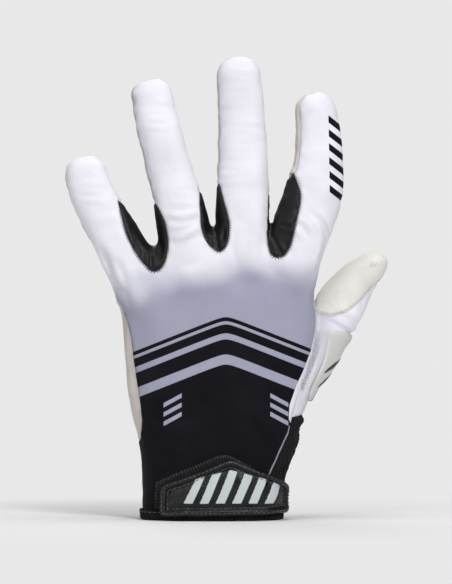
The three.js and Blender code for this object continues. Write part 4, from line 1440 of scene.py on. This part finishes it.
# Printed bars on the tab: how far inside the nearest bar each place is
BAR_PITCH, BAR_WIDE, BAR_LEAN = 7.6, 4.4, 0.42
q = s - BAR_LEAN * (z - 14)
left_q, right_q = along_front(((-12.6, 14), (31.5, 14)))[:, 0]
bar_middle = np.abs((q - left_q) % BAR_PITCH - BAR_WIDE / 2)
bar_top = 20.6 + 4.2 * np.clip(1 - np.abs(s - along_front(((9, 14),))[0, 0]) / 20, 0, 1)
bars = np.minimum(BAR_WIDE / 2 - bar_middle, np.minimum(z - 8.6, bar_top - z))
bars = np.minimum(bars, np.minimum(q - left_q + 0.2, right_q - q))
raised = 0.22 * smooth_step(bars, -0.25, 0.25)
tab = laid_on("tab_and_strap", tab_part, TAB_OUT, tab_top + raised, tab_coat, numbers={"bars": bars})
dress(tab, "closure_tab")

# Piping: an oval roll round the tab, drawn in a little every 2.4 mm as if by its stitches
PIPING_OUT, PIPING_WIDE, PIPING_HIGH = 3.65, 1.5, 1.45
tab_edge = even_path(tab_round, 0.45)
rim_path = inset(tab_edge, PIPING_WIDE)
around = np.linspace(0, 2 * np.pi, 14, endpoint=False)
step = np.linalg.norm(np.roll(rim_path, -1, axis=0) - rim_path, axis=1)
run = np.concatenate([[0], np.cumsum(step)[:-1]])
ahead = unit(np.roll(rim_path, -1, axis=0) - np.roll(rim_path, 1, axis=0))
across = np.stack([-ahead[:, 1], ahead[:, 0]], -1)
drawn = 1 - 0.05 * np.cos(2 * np.pi * run / 2.4) + 0.05 * waves(np.column_stack([rim_path, 0 * run]), 7, 51)
wide = (PIPING_WIDE * drawn)[:, None, None]
place = rim_path[:, None] + wide * np.cos(around)[None, :, None] * across[:, None]
height = PIPING_OUT + (PIPING_HIGH * drawn)[:, None] * np.sin(around)[None, :]
rim_points, _ = on_wrist(place[..., 0], place[..., 1], height)
rim_faces = grid_faces(len(rim_path) + 1, len(around)) % (len(rim_path) * len(around))
rim = make_mesh(
    "tab_piping", rim_points.reshape(-1, 3), [rim_faces[:, ::-1]], rim_coat,
    uv=np.column_stack([np.repeat(run, len(around)), np.tile(around, len(run))]),
)
dress(rim, "tab_rim")


def ring_of_stitches(path, out):
    """Starts, ends and normals of stitches along a closed flat path: each takes a share of its pitch."""
    at = even_path(path, STITCH_PITCH)
    run = np.roll(at, -1, axis=0) - at
    a, normal = on_wrist(*(at + run * (0.5 - STITCH_SHARE / 2)).T, out)
    b, _ = on_wrist(*(at + run * (0.5 + STITCH_SHARE / 2)).T, out)
    return a, b, normal


def level_stitches(at, long, height, out):
    """Starts, ends and normals of stitches of a length that start at some arc lengths, all at one height."""
    a, normal = on_wrist(at, height, out)
    b, _ = on_wrist(at + long, height, out)
    return a, b, normal


def sewn(name, rows, node):
    """Rows of closure stitches made into one piece."""
    joined = [np.vstack(v) for v in zip(*rows)]
    dress(stitches(name, *joined, THREAD_RADIUS, THREAD_RISE, grey_thread), node)


tab_rows = [ring_of_stitches(inset(tab_edge, by), out) for by, out in ((1.15, 4.98), (3.6, 3.75))]
sewn("tab_stitches", tab_rows, "tab_rim")
at = np.arange(side_s + 3.5, strap_end - 1.5, STITCH_PITCH)
strap_heights = (STRAP_Z[0] + 1.7, STRAP_Z[1] - 1.5)
strap_rows = [level_stitches(at, 1.6, height, STRAP_SEAM_OUT) for height in strap_heights]
sewn("strap_stitches", strap_rows, "closure_tab")

# Binding: a folded tape carried round the hem. Its profile, how far out and how high, goes down the inside,
# under the hem, up the outside, and back between both round the panels' edge
BINDING_TOP = 5.3
BINDING_RIBS = 190
profile = np.array(
    [
        (-2.9, 5.0), (-2.9, 1.4), (-2.5, 0.5), (-1.6, 0.1), (-0.6, 0.0), (0.4, 0.1), (1.2, 0.45), (1.5, 1.2),
        (1.55, 3.0), (1.5, 4.6), (1.2, BINDING_TOP), (0.6, BINDING_TOP), (0.35, 4.9), (0.35, 1.7),
        (-1.5, 1.7), (-1.5, 5.0),
    ]
)
total = AROUND[-1] - AROUND[0]
around_s = np.linspace(AROUND[0], AROUND[-1], 1200, endpoint=False)
s_grid = np.repeat(around_s[:, None], len(profile), 1)
outer_face = smooth_step(profile[:, 0], 0.9, 1.4) * smooth_step(profile[:, 1], 0.3, 1.0)
ribs = 0.09 * np.cos(2 * np.pi * around_s / (total / BINDING_RIBS))[:, None] * outer_face[None]
sway = 0.25 * np.sin(2 * np.pi * around_s / total * 7)[:, None] * smooth_step(profile[:, 1], 1, 4)[None]
binding_points, _ = on_wrist(s_grid, profile[None, :, 1] + sway, profile[None, :, 0] + ribs)
faces = grid_faces(len(around_s) + 1, len(profile)) % (len(around_s) * len(profile))
binding = make_mesh(
    "hem_binding", binding_points.reshape(-1, 3), [faces], bound,
    uv=np.column_stack([s_grid.ravel(), np.tile(profile[:, 1] + profile[:, 0], len(around_s))]),
)
dress(binding, "cuff_binding")
row = level_stitches(np.arange(AROUND[0], AROUND[-1] - 2, 3.0), 1.9, 4.1, 1.6)
dress(stitches("binding_stitches", *row, 0.16, 0.15, grey_thread), "cuff_binding")


def skin_rows(name, pairs, node, radius, rise, material, out=0.12):
    """Stitches between pairs of places on the front of the skin, those that meet it."""
    starts, ends = pairs
    a, na, met_a = front_skin(*starts.T)
    b, nb, met_b = front_skin(*ends.T)
    ok = met_a & met_b & (np.linalg.norm(a - b, axis=1) < 2.2 * np.linalg.norm(starts - ends, axis=1) + 0.5)
    normal = unit(na + nb)[ok]
    thing = stitches(name, a[ok] + out * na[ok], b[ok] + out * nb[ok], normal, radius, rise, material)
    dress(thing, node)


def along_line(line, pitch):
    """Places a pitch apart along an open line, and the directions ahead and to the side there."""
    at = even_path(line, pitch, closed=False)
    ahead = unit(np.gradient(at, axis=0))
    return at, ahead, np.stack([-ahead[:, 1], ahead[:, 0]], -1)


def zigzag(line, pitch, wide):
    """Pairs of places that go from one side of a line to the other and on."""
    at, _, side = along_line(line, pitch)
    sign = np.where(np.arange(len(at)) % 2 == 0, 1.0, -1.0)[:, None]
    places = at + side * sign * wide / 2
    return places[:-1], places[1:]


def slanted(line, pitch, wide):
    """Pairs of places that cross a line at a slant, one after another."""
    at, ahead, side = along_line(line, pitch)
    half = wide / 2 * (side + 0.5 * ahead)
    return at - half, at + half


def teeth(line, pitch, inner, outer):
    """Pairs of places that cross a closed outline from inside it to outside."""
    at = even_path(line, pitch)
    return inset(at, inner), inset(at, -outer)


for name, line in GUSSETS.items():
    pairs = teeth(spline(line, 6 * len(line)), 1.3, 0.5, 0.8)
    skin_rows(PANEL_LOOKS[name][2] + "_overlock", pairs, name, 0.25, 0.1, black_thread)
level, left, right = np.array(SIDE_SEAM, float).T
heights = np.linspace(44, 104, 60)
left_line = np.column_stack([np.interp(heights, level, left) - 0.1, heights])
pairs = slanted(left_line, 1.0, 0.9)
skin_rows("palm_seam_stitches", pairs, "palm_panel", 0.17, 0.16, cream_thread)
tape_line = spline(TAPE_LINE, 40)
one, two = zigzag(tape_line, 1.5, 3.0), zigzag(tape_line[1:], 1.5, 3.0)
pairs = (np.vstack([one[0], two[0]]), np.vstack([one[1], two[1]]))
skin_rows("ladder_seam", pairs, "back_panel", 0.2, 0.16, white_thread)
lower = np.array([(51.5, 104.9), (58, 102.7), (65.6, 104.4), (73.2, 110.2), (80, 117.5)])
hem = even_path(spline(lower, 40), 2.3, closed=False)
pairs = (hem[:-1], hem[:-1] + 0.7 * np.diff(hem, axis=0))
skin_rows("thumb_hem_stitches", pairs, "thumb_leather", 0.17, 0.12, cream_thread)
tip = np.array([(x, 126.2) for x in (78.4, 79.7, 81, 82.3, 83.6)])
pairs = (tip, tip + (0.9, 2.6))
skin_rows("thumb_tip_stitches", pairs, "thumb_leather", 0.2, 0.15, cream_thread)

# Set: white paper that takes the glove's shadow and turns into an even glow farther off, before a far white
# dome that only the camera sees
turns = np.linspace(0, 2 * np.pi, 96, endpoint=False)


def turned(radius, height):
    """Rings about the upright axis, one for each radius and height in metres, as points in millimetres."""
    x, y = np.outer(radius, np.cos(turns)), np.outer(radius, np.sin(turns))
    return np.stack([x, y, np.broadcast_to(height[:, None], x.shape)], -1).reshape(-1, 3) / MM


rings = np.linspace(0.002, 0.6, 40)
paper, tree, shader = new_material("white paper floor", 0.95, shine=0.0)
shader.inputs["Emission Color"].default_value = WHITE_LIGHT
place = add(tree, "ShaderNodeTexCoord").outputs["Object"]
away = add(tree, "ShaderNodeVectorMath", {0: place}, operation="LENGTH").outputs["Value"]
near = ramp(tree, away, 0.09, 0.26, 1.0, 0.0, way="SMOOTHSTEP")
tree.links.new(mixed(tree, near, NO_LIGHT, PAPER), shader.inputs["Base Color"])
backdrop_glow = srgb("#E8E8E8")[0]
strength = math_of(tree, "MULTIPLY_ADD", near, -backdrop_glow, backdrop_glow)
tree.links.new(strength, shader.inputs["Emission Strength"])
floor_faces = grid_faces(len(rings), len(turns))[:, ::-1]
make_mesh("paper_floor", turned(rings, 0 * rings), [floor_faces], paper)
up = np.linspace(-np.pi / 2 + 0.02, np.pi / 2 - 0.02, 40)
glow, tree, shader = new_material("even white backdrop", 1.0, shine=0.0)
shader.inputs["Base Color"].default_value = NO_LIGHT
shader.inputs["Emission Color"].default_value = WHITE_LIGHT
shader.inputs["Emission Strength"].default_value = backdrop_glow
dome_points = turned(DOME_RADIUS * np.cos(up), DOME_RADIUS * np.sin(up))
dome = make_mesh("backdrop_dome", dome_points, [grid_faces(len(up), len(turns))], glow)
dome.visible_diffuse = False
dome.visible_glossy = False
dome.visible_transmission = False
dome.visible_shadow = False

EYE_AWAY = 2.2  # metres from the camera to the glove
VIEW_HIGH = 0.292  # metres that the picture takes in from top to bottom at the glove
camera = bpy.data.cameras.new("camera")
camera.sensor_fit = "VERTICAL"
camera.sensor_height = 24
camera.lens = camera.sensor_height * EYE_AWAY / VIEW_HIGH
camera.clip_end = 20
eye = bpy.data.objects.new("camera", camera)
eye.location = (0.006, -EYE_AWAY, 0.1135)
eye.rotation_euler = (math.pi / 2, 0, 0)
bpy.context.collection.objects.link(eye)
bpy.context.scene.camera = eye

GLOVE_MIDDLE = (0, 0, 0.11)
# Area lights turned to the glove: name, place in metres, size and power in watts
for name, place, size, power in (
    ("key, high right", (0.9, -1.75, 1.4), 0.6, 30),
    ("fill, left", (-1.3, -1.75, 0.9), 1.0, 11),
    ("top", (0.1, -0.1, 1.9), 1.0, 13),
    ("palm side", (-0.5, 1.7, 1.5), 1.2, 11),
):
    light = bpy.data.lights.new(name, "AREA")
    light.size = size
    light.energy = power
    lamp = bpy.data.objects.new(name, light)
    lamp.location = place
    lamp.rotation_euler = (Vector(GLOVE_MIDDLE) - Vector(place)).to_track_quat("-Z", "Y").to_euler()
    bpy.context.collection.objects.link(lamp)
world = bpy.data.worlds.new("world")
bpy.context.scene.world = world
world.use_nodes = True
sky = world.node_tree.nodes["Background"]
sky.inputs["Color"].default_value = (1.0, 1.0, 1.02, 1)
sky.inputs["Strength"].default_value = 0.17
bpy.context.scene.view_settings.view_transform = "Standard"
